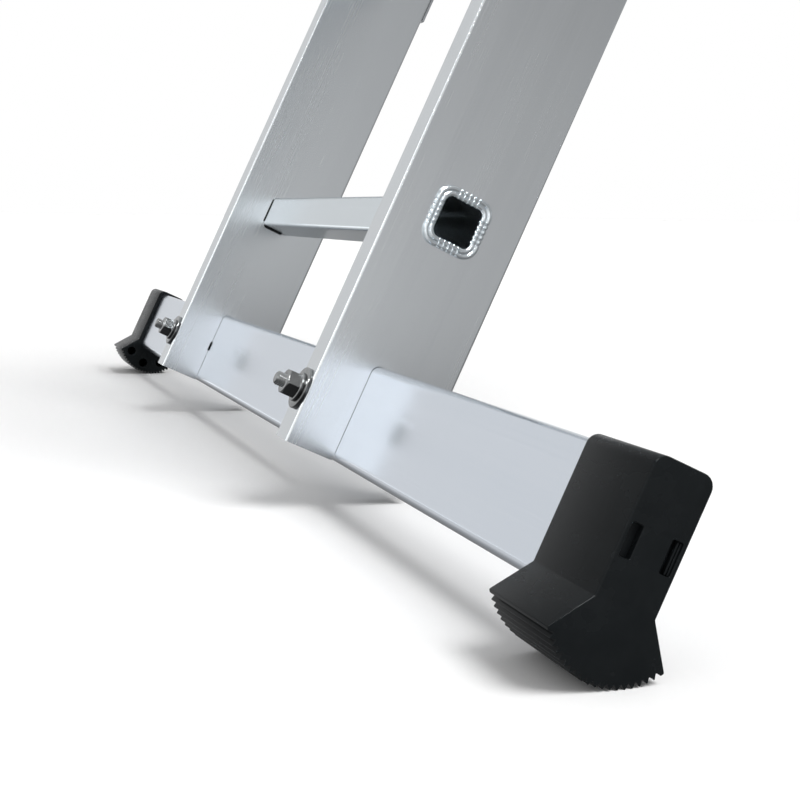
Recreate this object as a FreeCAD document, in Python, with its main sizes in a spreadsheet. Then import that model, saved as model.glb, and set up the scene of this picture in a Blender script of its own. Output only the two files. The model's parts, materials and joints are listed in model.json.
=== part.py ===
import FreeCAD, Part
import math
import os
import Sketcher

# An extension ladder of two aluminium sections, with a stabiliser bar through the foot of the base section.
#
# Every piece is drawn in the ladder's own frame, in millimetres: X across the ladder, Y through it from the
# climber's side (0 at the front of the base stiles) to the wall side, and Z up along the stiles. Each piece
# then gets one common Placement, LEAN, that tips the ladder to its working angle over a floor at Z = 0. The
# origin is on the floor midway between the two feet.

SIZES = {
    "lean_angle": 25,
    "overshoot": 1,
    # stiles
    "outer_width": 490,
    "stile_depth": 98,
    "stile_width": 25,
    "stile_wall": 1.8,
    "stile_corner": 2,
    "base_length": 2260,
    "fly_depth": 73,
    "fly_wall": 1.6,
    "fly_half_width": 240,
    "fly_gap": 2.5,
    "fly_bottom": 425,
    # rungs
    "rung_side": 30,
    "rung_wall": 1.5,
    "rung_corner": 4,
    "rung_pitch": 280,
    "first_rung": 184.5,
    "base_rungs": 8,
    "fly_rungs": 6,
    "flare_side": 42.5,
    "flare_corner": 11,
    "flare_height": 3,
    "fly_flare_height": 2.5,
    # stabiliser bar
    "bar_height": 72,
    "bar_depth": 25,
    "bar_wall": 2,
    "bar_corner": 6,
    "bar_half_length": 620,
    "bar_gap": 0.2,
    "bolt_height": 36.5,
    "bolt_radius": 5,
    "bolt_hole_radius": 5.25,
    "bolt_front": 20.5,
    "bolt_head": 6.4,
    "hex_radius": 9.8,
    "nut_height": 9.5,
    "small_washer_radius": 10.5,
    "small_washer": 2,
    "large_washer_radius": 15,
    "large_washer": 2.5,
    "sleeve_radius": 8,
    "slit_width": 1.3,
    "slit_height": 9,
    # feet
    "foot_mouth": 563,
    "foot_length": 61,
    "foot_depth": 33,
    "foot_top": 75,
    "foot_corner": 6.5,
    "foot_kink": 8.3,
    "foot_end_wall": 4,
    "foot_clearance": 0.1,
    "fan_height": 10.4,
    "fan_radius": 38.4,
    "fan_half_width": 31.5,
    "groove_depth": 1.5,
    "groove_half_width": 1.6,
    "groove_rim": 0.2,
    "grooves": 19,
    "foot_slot_width": 6,
    "foot_slot_height": 16,
    "foot_slot_rise": 35.5,
    "foot_slot_offset": 11,
    "foot_slot_corner": 1,
    "foot_bore_radius": 5,
    "foot_bore_circle": 27,
    "foot_bore_depth": 50,
    # end caps
    "cap_plate": 12,
    "cap_plug": 20,
    # guides, stops and their rivets
    "sheet_gauge": 2.5,
    "guide_height": 60,
    "guide_bottom": 2185,
    "guide_reach": 60,
    "guide_lip": 35,
    "guide_front_rivet": 20,
    "guide_rear_rivet": 45,
    "liner_gauge": 1.2,
    "slide_gap": 0.3,
    "liner_front": 14,
    "strap_bottom": 432,
    "strap_height": 60,
    "strap_clear": 6,
    "strap_plate": 60,
    "strap_jog": 7.5,
    "strap_front_rivet": 58,
    "strap_rear_rivet": 24,
    "strap_rear_gap": 3.5,
    "strap_lip": 21.5,
    "stop_bottom": 1612.5,
    "stop_height": 14,
    "stop_depth": 24,
    "stop_reach": 8,
    "rivet_radius": 2.4,
    "rivet_head_radius": 4.8,
    "rivet_head": 1.8,
    "rivet_tail": 1,
    # rung locks
    "lock_gauge": 10,
    "lock_inset": 4,
    "pivot_setback": 30,
    "pivot_height": 520,
    "pin_radius": 4,
    "pin_head_radius": 6.5,
    "pin_head": 2,
    "pin_clearance": 0.06,
    "boss_radius": 12,
    "housing_width": 22,
    "housing_front": 32,
    "housing_back": 18,
    "housing_height": 58,
    "housing_rivet_setback": 18,
    "housing_rivet_rise": 19,
    "arm_inset": 1,
    "shoulder": 4,
    "belly_reach": 8,
    "belly_drop": 18,
    "seat_reach": 50,
    "lock_rest_gap": 0.3,
    "hook_gap": 0.6,
    "hook_draft": 2.5,
    "hook_drop": 13,
    "hook_tip": 10,
    "hook_heel": 13,
    "heel_rise": 4,
    "crown_reach": 4,
    "crown_rise": 19,
    "spine_reach": 55,
    "spine_drop": 7,
    "nape_reach": 20,
    "spring_radius": 5.8,
    "spring_wire": 0.7,
    "spring_play": 0.7,
}
# The ridge of the tread that stands on the floor, counted from the middle of the fan.
FLOOR_TOOTH = 4.5
# Where the round bores inside a foot lie, in degrees round the fan's axis.
BORE_ANGLES = (-135, -90, -45)
NEARLY_ZERO = 1e-9

document = FreeCAD.newDocument("extension_ladder")
sheet = document.addObject("Spreadsheet::Sheet", "sizes")
for row, (alias, number) in enumerate(SIZES.items(), start=1):
    sheet.set(f"A{row}", alias)
    sheet.set(f"B{row}", str(number))
    sheet.setAlias(f"B{row}", alias)
document.recompute()

# Lengths that several pieces share, as expressions on the sheet.
STILE_CENTRE = "(sizes.outer_width / 2 - sizes.stile_width / 2)"
HALF_WIDTH = "(sizes.outer_width / 2)"
MID_DEPTH = "(sizes.stile_depth / 2)"
FLY_FRONT = "(-sizes.fly_gap - sizes.fly_depth)"
FLY_MID = "(-sizes.fly_gap - sizes.fly_depth / 2)"
FLY_STILE_CENTRE = "(sizes.fly_half_width - sizes.stile_width / 2)"
FLY_INNER = "(sizes.fly_half_width - sizes.stile_width)"
FIRST_FLY_RUNG = "(sizes.first_rung + (sizes.base_rungs - sizes.fly_rungs) * sizes.rung_pitch)"
SECOND_RUNG_TOP = "(sizes.first_rung + sizes.rung_pitch + sizes.rung_side / 2)"
BEFORE_STILE = "(-sizes.stile_width / 2 - sizes.overshoot)"
THROUGH_STILE = "(sizes.stile_width + 2 * sizes.overshoot)"
THROUGH_SHEET = "(sizes.sheet_gauge + 2 * sizes.overshoot)"


def measure(text):
    """The number that an expression on the sheet comes to."""
    return float(sheet.evalExpression(text))


# ------------------------------------------------------------------------------------------------ placing

lean = math.radians(measure("sizes.lean_angle"))
fan_y = measure(MID_DEPTH)
fan_z = measure("sizes.fan_height")
LEAN = FreeCAD.Placement(
    FreeCAD.Vector(
        0,
        -(fan_y * math.cos(lean) + fan_z * math.sin(lean)),
        measure("sizes.fan_radius") - (fan_z * math.cos(lean) - fan_y * math.sin(lean)),
    ),
    FreeCAD.Rotation(FreeCAD.Vector(1, 0, 0), -measure("sizes.lean_angle")),
)


nodes = []


def place(piece, label, x="0", y="0", z="0", turn=FreeCAD.Rotation()):
    """Names a piece and puts its own origin at x, y, z in the ladder's frame, leaning with the ladder."""
    piece.Label = label
    nodes.append(piece)
    position = FreeCAD.Vector(measure(x), measure(y), measure(z))
    piece.Placement = LEAN.multiply(FreeCAD.Placement(position, turn))
    return piece


# --------------------------------------------------------------------------------- sketches and features


def new_body(name):
    return document.addObject("PartDesign::Body", name)


def origin_feature(body, role):
    for feature in body.Origin.OriginFeatures:
        if feature.Role == role:
            return feature
    raise ValueError(f"{body.Name} has no origin feature {role}")


def new_sketch(body, plane, name, x="0", y="0", out="0", spin="0"):
    """A sketch on a body's origin plane, moved by x and y in the plane and by out along its normal."""
    sketch = body.newObject("Sketcher::SketchObject", body.Name + "_" + name)
    sketch.AttachmentSupport = [(origin_feature(body, plane), "")]
    sketch.MapMode = "FlatFace"
    sketch.AttachmentOffset = FreeCAD.Placement(
        FreeCAD.Vector(measure(x), measure(y), measure(out)),
        FreeCAD.Rotation(FreeCAD.Vector(0, 0, 1), measure(spin)),
    )
    sketch.setExpression("AttachmentOffset.Base.x", x)
    sketch.setExpression("AttachmentOffset.Base.y", y)
    sketch.setExpression("AttachmentOffset.Base.z", out)
    return sketch


def bind(sketch, constraint, name, text):
    """Adds a dimension to a sketch under a name and ties it to an expression."""
    index = sketch.addConstraint(constraint)
    sketch.renameConstraint(index, name)
    sketch.setExpression("Constraints." + name, text)


def rounded_rectangle(sketch, name, width, height, radius):
    """A rectangle with rounded corners, centred on the sketch's origin."""
    half_x = measure(width) / 2
    half_y = measure(height) / 2
    round_off = measure(radius)
    first = sketch.GeometryCount
    turns = [(1, -1), (1, 1), (-1, 1), (-1, -1)]
    flats = [(0, -1), (1, 0), (0, 1), (-1, 0)]
    for step, ((corner_x, corner_y), (flat_x, flat_y)) in enumerate(zip(turns, flats)):
        along_x = -flat_y
        along_y = flat_x
        middle = FreeCAD.Vector(flat_x * half_x, flat_y * half_y, 0)
        reach = FreeCAD.Vector(along_x * (half_x - round_off), along_y * (half_y - round_off), 0)
        sketch.addGeometry(Part.LineSegment(middle - reach, middle + reach))
        centre = FreeCAD.Vector(corner_x * (half_x - round_off), corner_y * (half_y - round_off), 0)
        circle = Part.Circle(centre, FreeCAD.Vector(0, 0, 1), round_off)
        start = (step - 1) * math.pi / 2
        sketch.addGeometry(Part.ArcOfCircle(circle, start, start + math.pi / 2))
    for step in range(8):
        following = first + (step + 1) % 8
        sketch.addConstraint(Sketcher.Constraint("Tangent", first + step, 2, following, 1))
    for step, direction in enumerate(["Horizontal", "Vertical", "Horizontal", "Vertical"]):
        sketch.addConstraint(Sketcher.Constraint(direction, first + 2 * step))
    for step in (3, 5, 7):
        sketch.addConstraint(Sketcher.Constraint("Equal", first + 1, first + step))
    sketch.addConstraint(Sketcher.Constraint("Symmetric", first, 1, first + 4, 1, -1, 1))
    bind(sketch, Sketcher.Constraint("Radius", first + 1, round_off), name + "_radius", radius)
    across = Sketcher.Constraint("DistanceX", first + 6, 1, first + 2, 1, 2 * half_x)
    bind(sketch, across, name + "_width", width)
    upward = Sketcher.Constraint("DistanceY", first, 1, first + 4, 1, 2 * half_y)
    bind(sketch, upward, name + "_height", height)


def circle_at(sketch, name, radius, x="0", y="0"):
    """A circle of a given radius, with its centre at x, y."""
    centre = FreeCAD.Vector(measure(x), measure(y), 0)
    index = sketch.addGeometry(Part.Circle(centre, FreeCAD.Vector(0, 0, 1), measure(radius)))
    bind(sketch, Sketcher.Constraint("Radius", index, measure(radius)), name + "_radius", radius)
    pin_point(sketch, index, 3, name, x, y)


def pin_point(sketch, index, position, name, x, y):
    """Holds one point of a sketch at x, y from the sketch's origin."""
    for axis, direction, text in ((-2, "DistanceX", x), (-1, "DistanceY", y)):
        if abs(measure(text)) < NEARLY_ZERO:
            sketch.addConstraint(Sketcher.Constraint("PointOnObject", index, position, axis))
        else:
            held = Sketcher.Constraint(direction, -1, 1, index, position, measure(text))
            bind(sketch, held, name + "_" + direction, text)


def outline(sketch, points):
    """A closed outline of straight lines through points, each an x and a y expression."""
    corners = [FreeCAD.Vector(measure(x), measure(y), 0) for x, y in points]
    first = sketch.GeometryCount
    count = len(points)
    for step in range(count):
        sketch.addGeometry(Part.LineSegment(corners[step], corners[(step + 1) % count]))
    for step in range(count):
        following = first + (step + 1) % count
        sketch.addConstraint(Sketcher.Constraint("Coincident", first + step, 2, following, 1))
    for step, (x, y) in enumerate(points):
        pin_point(sketch, first + step, 1, f"corner{step}", x, y)


def pad(body, sketch, length, backwards=False):
    feature = body.newObject("PartDesign::Pad", sketch.Name + "_pad")
    feature.Profile = sketch
    feature.setExpression("Length", length)
    feature.Reversed = backwards
    return feature


def pocket(body, sketch, length):
    """A pocket that runs from its sketch along the sketch's normal."""
    feature = body.newObject("PartDesign::Pocket", sketch.Name + "_pocket")
    feature.Profile = sketch
    feature.setExpression("Length", length)
    feature.Reversed = True
    return feature


def row_of(body, original, axis, count, span):
    pattern = body.newObject("PartDesign::LinearPattern", original.Name + "_row")
    pattern.Originals = [original]
    pattern.Direction = (origin_feature(body, axis), [""])
    pattern.setExpression("Length", span)
    pattern.setExpression("Occurrences", count)
    body.Tip = pattern
    return pattern


# ------------------------------------------------------------------------------------------ part solids


def cylinder(name, radius, length, turn=FreeCAD.Rotation(), x="0", y="0", z="0"):
    solid = document.addObject("Part::Cylinder", name)
    solid.setExpression("Radius", radius)
    solid.setExpression("Height", length)
    solid.Placement = FreeCAD.Placement(FreeCAD.Vector(measure(x), measure(y), measure(z)), turn)
    return solid


def hexagon(name, radius, length, turn=FreeCAD.Rotation(), x="0", y="0", z="0"):
    solid = document.addObject("Part::Prism", name)
    solid.Polygon = 6
    solid.setExpression("Circumradius", radius)
    solid.setExpression("Height", length)
    solid.Placement = FreeCAD.Placement(FreeCAD.Vector(measure(x), measure(y), measure(z)), turn)
    return solid


def cut(name, base, tool):
    solid = document.addObject("Part::Cut", name)
    solid.Base = base
    solid.Tool = tool
    return solid


def fuse(name, base, tool):
    solid = document.addObject("Part::Fuse", name)
    solid.Base = base
    solid.Tool = tool
    return solid


def group(label, solids):
    """Several separate solids of one kind, kept together as one node."""
    compound = document.addObject("Part::Compound", label)
    compound.Links = solids
    return place(compound, label)


ALONG_Y = FreeCAD.Rotation(FreeCAD.Vector(1, 0, 0), -90)
ALONG_X = FreeCAD.Rotation(FreeCAD.Vector(0, 1, 0), 90)
SIDES = {"right": 1, "left": -1}

# ----------------------------------------------------------------------------------------------- stiles


def stile(label, depth, wall, length, rungs, first_hole):
    """A closed box section with a row of square rung holes. Its own origin is at the middle of its foot."""
    body = new_body(label)
    section = new_sketch(body, "XY_Plane", "section")
    rounded_rectangle(section, "outer", "sizes.stile_width", depth, "sizes.stile_corner")
    inner_width = f"sizes.stile_width - 2 * {wall}"
    rounded_rectangle(section, "inner", inner_width, f"{depth} - 2 * {wall}", "sizes.stile_corner / 2")
    pad(body, section, length)
    hole = new_sketch(body, "YZ_Plane", "rung_hole", y=first_hole, out=BEFORE_STILE)
    rounded_rectangle(hole, "hole", "sizes.rung_side", "sizes.rung_side", "sizes.rung_corner")
    first = pocket(body, hole, THROUGH_STILE)
    row_of(body, first, "Z_Axis", rungs, f"({rungs} - 1) * sizes.rung_pitch")
    return body


def rivet_holes(body, name, side, spots):
    """Rivet holes through one side wall of a stile, at each y and z: side is 1 for the wall towards +X."""
    reach = "(sizes.stile_wall + sizes.overshoot)"
    out = f"sizes.stile_width / 2 - {reach}" if side > 0 else BEFORE_STILE
    holes = new_sketch(body, "YZ_Plane", name, out=out)
    for index, (y, z) in enumerate(spots):
        circle_at(holes, f"rivet{index}", "sizes.rivet_radius", y, z)
    body.Tip = pocket(body, holes, f"{reach} + sizes.overshoot")


GUIDE_MID = "(sizes.guide_bottom + sizes.guide_height / 2)"
GUIDE_RIVETS = [("sizes.guide_front_rivet", GUIDE_MID), ("sizes.guide_rear_rivet", GUIDE_MID)]
STOP_RIVETS = [(MID_DEPTH, "(sizes.stop_bottom + sizes.stop_height / 2)")]
STRAP_MID = "(sizes.strap_bottom + sizes.strap_height / 2)"
STRAP_RIVETS = [("-sizes.strap_front_rivet", STRAP_MID), ("-sizes.strap_rear_rivet", STRAP_MID)]
HOUSING_BOTTOM = "(sizes.pivot_height - sizes.housing_height / 2)"
HOUSING_RIVET_LINE = "-sizes.pivot_setback - sizes.housing_rivet_setback"
HOUSING_RIVETS = [
    (HOUSING_RIVET_LINE, "sizes.pivot_height - sizes.housing_rivet_rise"),
    (HOUSING_RIVET_LINE, "sizes.pivot_height + sizes.housing_rivet_rise"),
]


def base_stile(name, side):
    body = stile(
        f"base_stile_{name}",
        "sizes.stile_depth",
        "sizes.stile_wall",
        "sizes.base_length",
        "sizes.base_rungs",
        "sizes.first_rung",
    )
    bar_top = "(sizes.bar_height + sizes.bar_gap)"
    below = "(2 * sizes.bar_corner)"
    slot = new_sketch(body, "YZ_Plane", "bar_slot", y=f"({bar_top} - {below}) / 2", out=BEFORE_STILE)
    slot_width = "sizes.bar_depth + 2 * sizes.bar_gap"
    rounded_rectangle(slot, "slot", slot_width, f"{bar_top} + {below}", "sizes.bar_corner")
    pocket(body, slot, THROUGH_STILE)
    bolt = new_sketch(body, "XZ_Plane", "bolt_hole", out="-sizes.stile_depth / 2 - sizes.overshoot")
    circle_at(bolt, "bolt", "sizes.bolt_hole_radius", y="sizes.bolt_height")
    pocket(body, bolt, "sizes.stile_depth + 2 * sizes.overshoot")
    wall_towards_left = "sizes.stile_width / 2 - sizes.stile_wall - sizes.overshoot"
    inner_wall = BEFORE_STILE if side > 0 else wall_towards_left
    slit = new_sketch(
        body,
        "YZ_Plane",
        "seam_slit",
        x="-sizes.bar_depth / 2 - sizes.bar_gap - sizes.slit_width / 4",
        y="sizes.bolt_height",
        out=inner_wall,
    )
    rounded_rectangle(slit, "slit", "sizes.slit_width", "sizes.slit_height", "sizes.slit_width / 4")
    pocket(body, slit, "sizes.stile_wall + 2 * sizes.overshoot")
    spots = [(f"{y} - {MID_DEPTH}", z) for y, z in GUIDE_RIVETS + STOP_RIVETS]
    rivet_holes(body, "guide_holes", side, spots)
    return place(body, f"base_stile_{name}", f"{side} * {STILE_CENTRE}", MID_DEPTH)


def fly_stile(name, side):
    body = stile(
        f"fly_stile_{name}",
        "sizes.fly_depth",
        "sizes.fly_wall",
        "sizes.base_length - sizes.fly_bottom",
        "sizes.fly_rungs",
        f"{FIRST_FLY_RUNG} - sizes.fly_bottom",
    )
    for name_of_holes, wall_side, spots in (
        ("strap_holes", side, STRAP_RIVETS),
        ("housing_holes", -side, HOUSING_RIVETS),
    ):
        moved = [(f"{y} - {FLY_MID}", f"{z} - sizes.fly_bottom") for y, z in spots]
        rivet_holes(body, name_of_holes, wall_side, moved)
    return place(body, f"fly_stile_{name}", f"{side} * {FLY_STILE_CENTRE}", FLY_MID, "sizes.fly_bottom")


# ------------------------------------------------------------------------------------------------ rungs


def rung(label, half_width, flare_height, y, z):
    """A square tube through both stiles, flared over their outer faces."""
    body = new_body(label)
    bore = "(sizes.rung_side - 2 * sizes.rung_wall)"
    tube = ("sizes.rung_side", "sizes.rung_corner")
    flare = ("sizes.flare_side", "sizes.flare_corner")
    lengths = [
        ("tube", tube, f"-{half_width}", f"2 * {half_width}"),
        ("left_flare", flare, f"-{half_width} - {flare_height}", flare_height),
        ("right_flare", flare, half_width, flare_height),
    ]
    for name, (side, corner), start, length in lengths:
        section = new_sketch(body, "YZ_Plane", name, out=start)
        rounded_rectangle(section, "outer", side, side, corner)
        rounded_rectangle(section, "bore", bore, bore, "sizes.rung_corner / 2")
        pad(body, section, length)
    return place(body, label, y=y, z=z)


# ------------------------------------------------------------------------------------- stabiliser and feet


def stabiliser_bar():
    body = new_body("stabiliser_bar")
    section = new_sketch(body, "YZ_Plane", "section", out="-sizes.bar_half_length")
    rounded_rectangle(section, "outer", "sizes.bar_depth", "sizes.bar_height", "sizes.bar_corner")
    rounded_rectangle(
        section,
        "inner",
        "sizes.bar_depth - 2 * sizes.bar_wall",
        "sizes.bar_height - 2 * sizes.bar_wall",
        "sizes.bar_corner - sizes.bar_wall",
    )
    pad(body, section, "2 * sizes.bar_half_length")
    bolt_holes = new_sketch(body, "XZ_Plane", "bolt_holes", out="-sizes.bar_depth / 2 - sizes.overshoot")
    rise = "sizes.bolt_height - sizes.bar_height / 2"
    for name, side in SIDES.items():
        circle_at(bolt_holes, name, "sizes.bolt_hole_radius", f"{side} * {STILE_CENTRE}", rise)
    pocket(body, bolt_holes, "sizes.bar_depth + 2 * sizes.overshoot")
    return place(body, "stabiliser_bar", y=MID_DEPTH, z="sizes.bar_height / 2")


def foot_profile(sketch):
    """The end view of a foot: a rounded block that splays into a fan with an arc for its tread."""
    half = measure("sizes.foot_depth / 2")
    top = measure("sizes.foot_top - sizes.fan_height")
    corner = measure("sizes.foot_corner")
    kink = measure("sizes.foot_kink - sizes.fan_height")
    fan = measure("sizes.fan_half_width")
    radius = measure("sizes.fan_radius")
    drop = -math.sqrt(radius**2 - fan**2)
    upright = FreeCAD.Vector(0, 0, 1)

    def line(ax, ay, bx, by):
        return sketch.addGeometry(Part.LineSegment(FreeCAD.Vector(ax, ay, 0), FreeCAD.Vector(bx, by, 0)))

    def arc(x, y, size, start, end):
        circle = Part.Circle(FreeCAD.Vector(x, y, 0), upright, size)
        return sketch.addGeometry(Part.ArcOfCircle(circle, start, end))

    right_side = line(half, kink, half, top - corner)
    right_corner = arc(half - corner, top - corner, corner, 0, math.pi / 2)
    lid = line(half - corner, top, corner - half, top)
    left_corner = arc(corner - half, top - corner, corner, math.pi / 2, math.pi)
    left_side = line(-half, top - corner, -half, kink)
    left_splay = line(-half, kink, -fan, drop)
    tread = arc(0, 0, radius, math.atan2(drop, -fan), math.atan2(drop, fan))
    right_splay = line(fan, drop, half, kink)
    smooth = (right_side, right_corner, lid, left_corner, left_side)
    for before, after in zip(smooth, smooth[1:]):
        sketch.addConstraint(Sketcher.Constraint("Tangent", before, 2, after, 1))
    angled = (left_side, left_splay, tread, right_splay, right_side)
    for before, after in zip(angled, angled[1:]):
        sketch.addConstraint(Sketcher.Constraint("Coincident", before, 2, after, 1))
    sketch.addConstraint(Sketcher.Constraint("Vertical", right_side))
    sketch.addConstraint(Sketcher.Constraint("Vertical", left_side))
    sketch.addConstraint(Sketcher.Constraint("Equal", right_corner, left_corner))
    sketch.addConstraint(Sketcher.Constraint("Coincident", tread, 3, -1, 1))
    bind(sketch, Sketcher.Constraint("Radius", tread, radius), "tread_radius", "sizes.fan_radius")
    bind(sketch, Sketcher.Constraint("Radius", right_corner, corner), "corner_radius", "sizes.foot_corner")
    kink_height = "sizes.foot_kink - sizes.fan_height"
    pin_point(sketch, right_side, 1, "right_kink", "sizes.foot_depth / 2", kink_height)
    pin_point(sketch, left_side, 2, "left_kink", "-sizes.foot_depth / 2", kink_height)
    over = Sketcher.Constraint("DistanceY", -1, 1, lid, 1, top)
    bind(sketch, over, "top_height", "sizes.foot_top - sizes.fan_height")
    reach = Sketcher.Constraint("DistanceX", -1, 1, right_splay, 1, fan)
    bind(sketch, reach, "right_fan", "sizes.fan_half_width")
    mirror = Sketcher.Constraint("DistanceX", -1, 1, tread, 1, -fan)
    bind(sketch, mirror, "left_fan", "-sizes.fan_half_width")


def foot_cap(name, side):
    """A foot pressed over the end of the bar. Its own origin is on the fan's axis, at the mouth."""
    body = new_body(f"foot_cap_{name}")
    profile = new_sketch(body, "YZ_Plane", "profile")
    foot_profile(profile)
    pad(body, profile, "sizes.foot_length")
    bar_rise = "sizes.bar_height / 2 - sizes.fan_height"
    mouth = new_sketch(body, "YZ_Plane", "mouth", y=bar_rise, out="-sizes.overshoot")
    mouth_width = "sizes.bar_depth + 2 * sizes.foot_clearance"
    mouth_height = "sizes.bar_height + 2 * sizes.foot_clearance"
    rounded_rectangle(mouth, "mouth", mouth_width, mouth_height, "sizes.bar_corner")
    pocket(body, mouth, "sizes.foot_length - sizes.foot_end_wall + sizes.overshoot")
    for end, offset in (("front", "-sizes.foot_slot_offset"), ("back", "sizes.foot_slot_offset")):
        slot = new_sketch(
            body,
            "YZ_Plane",
            f"{end}_slot",
            x=offset,
            y="sizes.foot_slot_rise - sizes.fan_height",
            out="sizes.foot_length - sizes.foot_end_wall",
        )
        slot_size = ("sizes.foot_slot_width", "sizes.foot_slot_height", "sizes.foot_slot_corner")
        rounded_rectangle(slot, "slot", *slot_size)
        pocket(body, slot, "sizes.foot_end_wall + sizes.overshoot")
    bores = new_sketch(body, "YZ_Plane", "bores", out="-sizes.overshoot")
    for index, degrees in enumerate(BORE_ANGLES):
        circle_at(
            bores,
            f"bore{index}",
            "sizes.foot_bore_radius",
            f"sizes.foot_bore_circle * cos({degrees} deg)",
            f"sizes.foot_bore_circle * sin({degrees} deg)",
        )
    pocket(body, bores, "sizes.foot_bore_depth + sizes.overshoot")
    half_span = f"(sizes.grooves - 1) / 2 * sizes.lean_angle / {FLOOR_TOOTH}"
    groove = new_sketch(body, "YZ_Plane", "groove", out="-sizes.overshoot", spin=f"-({half_span})")
    rim = "-sizes.fan_radius - sizes.groove_rim"
    outline(
        groove,
        [
            ("-sizes.groove_half_width", rim),
            ("sizes.groove_half_width", rim),
            ("0", "sizes.groove_depth - sizes.fan_radius"),
        ],
    )
    first = pocket(body, groove, "sizes.foot_length + 2 * sizes.overshoot")
    tread = body.newObject("PartDesign::PolarPattern", body.Name + "_tread")
    tread.Originals = [first]
    tread.Axis = (origin_feature(body, "X_Axis"), [""])
    tread.setExpression("Angle", f"2 * {half_span}")
    tread.setExpression("Occurrences", "sizes.grooves")
    body.Tip = tread
    turn = FreeCAD.Rotation(FreeCAD.Vector(0, 0, 1), 0 if side > 0 else 180)
    mouth_x = f"{side} * sizes.foot_mouth"
    return place(body, f"foot_cap_{name}", mouth_x, MID_DEPTH, "sizes.fan_height", turn)


# ----------------------------------------------------------------------------- bolts through the stabiliser


def bolts():
    solids = []
    for name, side in SIDES.items():
        x = f"{side} * {STILE_CENTRE}"
        rear = "sizes.stile_depth + sizes.small_washer"
        shank = cylinder(
            f"bolt_shank_{name}",
            "sizes.bolt_radius",
            f"{rear} + sizes.bolt_front + sizes.overshoot",
            ALONG_Y,
            x,
            "-sizes.bolt_front",
            "sizes.bolt_height",
        )
        head = hexagon(
            f"bolt_head_{name}",
            "sizes.hex_radius",
            "sizes.bolt_head",
            ALONG_Y,
            x,
            rear,
            "sizes.bolt_height",
        )
        solids.append(fuse(f"bolt_{name}", shank, head))
    return group("stabiliser_bolts", solids)


def rings(label, radius, bore, spans, shape=cylinder):
    """Rings or nuts on both bolts: spans holds where each starts through the ladder, and its length."""
    solids = []
    for name, side in SIDES.items():
        x = f"{side} * {STILE_CENTRE}"
        for index, (y, run) in enumerate(spans):
            tag = f"{label}_{name}_{index}"
            outer = shape(tag + "_outer", radius, run, ALONG_Y, x, y, "sizes.bolt_height")
            drill = cylinder(tag + "_bore", bore, run, ALONG_Y, x, y, "sizes.bolt_height")
            solids.append(cut(tag, outer, drill))
    return group(label, solids)


def bolt_hardware():
    hole = "sizes.bolt_hole_radius"
    large = "(-sizes.large_washer)"
    small = "(-sizes.large_washer - sizes.small_washer)"
    nut = "(-sizes.large_washer - sizes.small_washer - sizes.nut_height)"
    rings("large_washers", "sizes.large_washer_radius", hole, [(large, "sizes.large_washer")])
    rings("small_washers", "sizes.small_washer_radius", hole, [(small, "sizes.small_washer")])
    rings("rear_washers", "sizes.small_washer_radius", hole, [("sizes.stile_depth", "sizes.small_washer")])
    rings("lock_nuts", "sizes.hex_radius", "sizes.bolt_radius", [(nut, "sizes.nut_height")], hexagon)
    bar_front = f"({MID_DEPTH} - sizes.bar_depth / 2)"
    bar_back = f"({MID_DEPTH} + sizes.bar_depth / 2)"
    side_run = f"{bar_front} - sizes.stile_wall"
    spans = [
        ("sizes.stile_wall", side_run),
        (f"{bar_front} + sizes.bar_wall", "sizes.bar_depth - 2 * sizes.bar_wall"),
        (bar_back, side_run),
    ]
    rings("spacer_sleeves", "sizes.sleeve_radius", hole, spans)


# --------------------------------------------------------------------------------------------- end caps


def end_cap(label, x, y, z, depth, wall, upward):
    """A plastic cap: a plate over the end of a stile and a plug inside it."""
    body = new_body(label)
    plate = new_sketch(body, "XY_Plane", "plate")
    rounded_rectangle(plate, "plate", "sizes.stile_width", depth, "sizes.stile_corner")
    pad(body, plate, "sizes.cap_plate", backwards=not upward)
    plug = new_sketch(body, "XY_Plane", "plug")
    plug_width = f"sizes.stile_width - 2 * {wall}"
    plug_depth = f"{depth} - 2 * {wall}"
    rounded_rectangle(plug, "plug", plug_width, plug_depth, "sizes.stile_corner / 2")
    pad(body, plug, "sizes.cap_plug", backwards=upward)
    return place(body, label, x, y, z)


# -------------------------------------------------------------------------------------- guides and stops


def side_outline(body, name, side, points, out="0"):
    """An outline in the XY plane, mirrored for the left side of the ladder."""
    sketch = new_sketch(body, "XY_Plane", name, out=out)
    outline(sketch, [(f"{side} * ({x})", y) for x, y in points])
    return sketch


def side_holes(body, side, name, start, length, radius, spots):
    """Round holes along X, through a plate that starts at the given distance from the middle."""
    out = start if side > 0 else f"-({start}) - ({length})"
    holes = new_sketch(body, "YZ_Plane", name, out=out)
    for index, (y, z) in enumerate(spots):
        circle_at(holes, f"hole{index}", radius, y, z)
    return pocket(body, holes, length)


def guide_bracket(name, side):
    """A hooked plate at the top of the base stile, round the outside and the front of the fly stile."""
    body = new_body(f"guide_bracket_{name}")
    outside = f"({HALF_WIDTH} + sizes.sheet_gauge)"
    lip_back = f"({FLY_FRONT} - sizes.slide_gap - sizes.liner_gauge)"
    lip_front = f"({lip_back} - sizes.sheet_gauge)"
    points = [
        (HALF_WIDTH, "sizes.guide_reach"),
        (outside, "sizes.guide_reach"),
        (outside, lip_front),
        (f"{outside} - sizes.guide_lip", lip_front),
        (f"{outside} - sizes.guide_lip", lip_back),
        (HALF_WIDTH, lip_back),
    ]
    pad(body, side_outline(body, "section", side, points), "sizes.guide_height")
    spots = [(y, f"{z} - sizes.guide_bottom") for y, z in GUIDE_RIVETS]
    start = f"{HALF_WIDTH} - sizes.overshoot"
    side_holes(body, side, "holes", start, THROUGH_SHEET, "sizes.rivet_radius", spots)
    return place(body, f"guide_bracket_{name}", z="sizes.guide_bottom")


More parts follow.
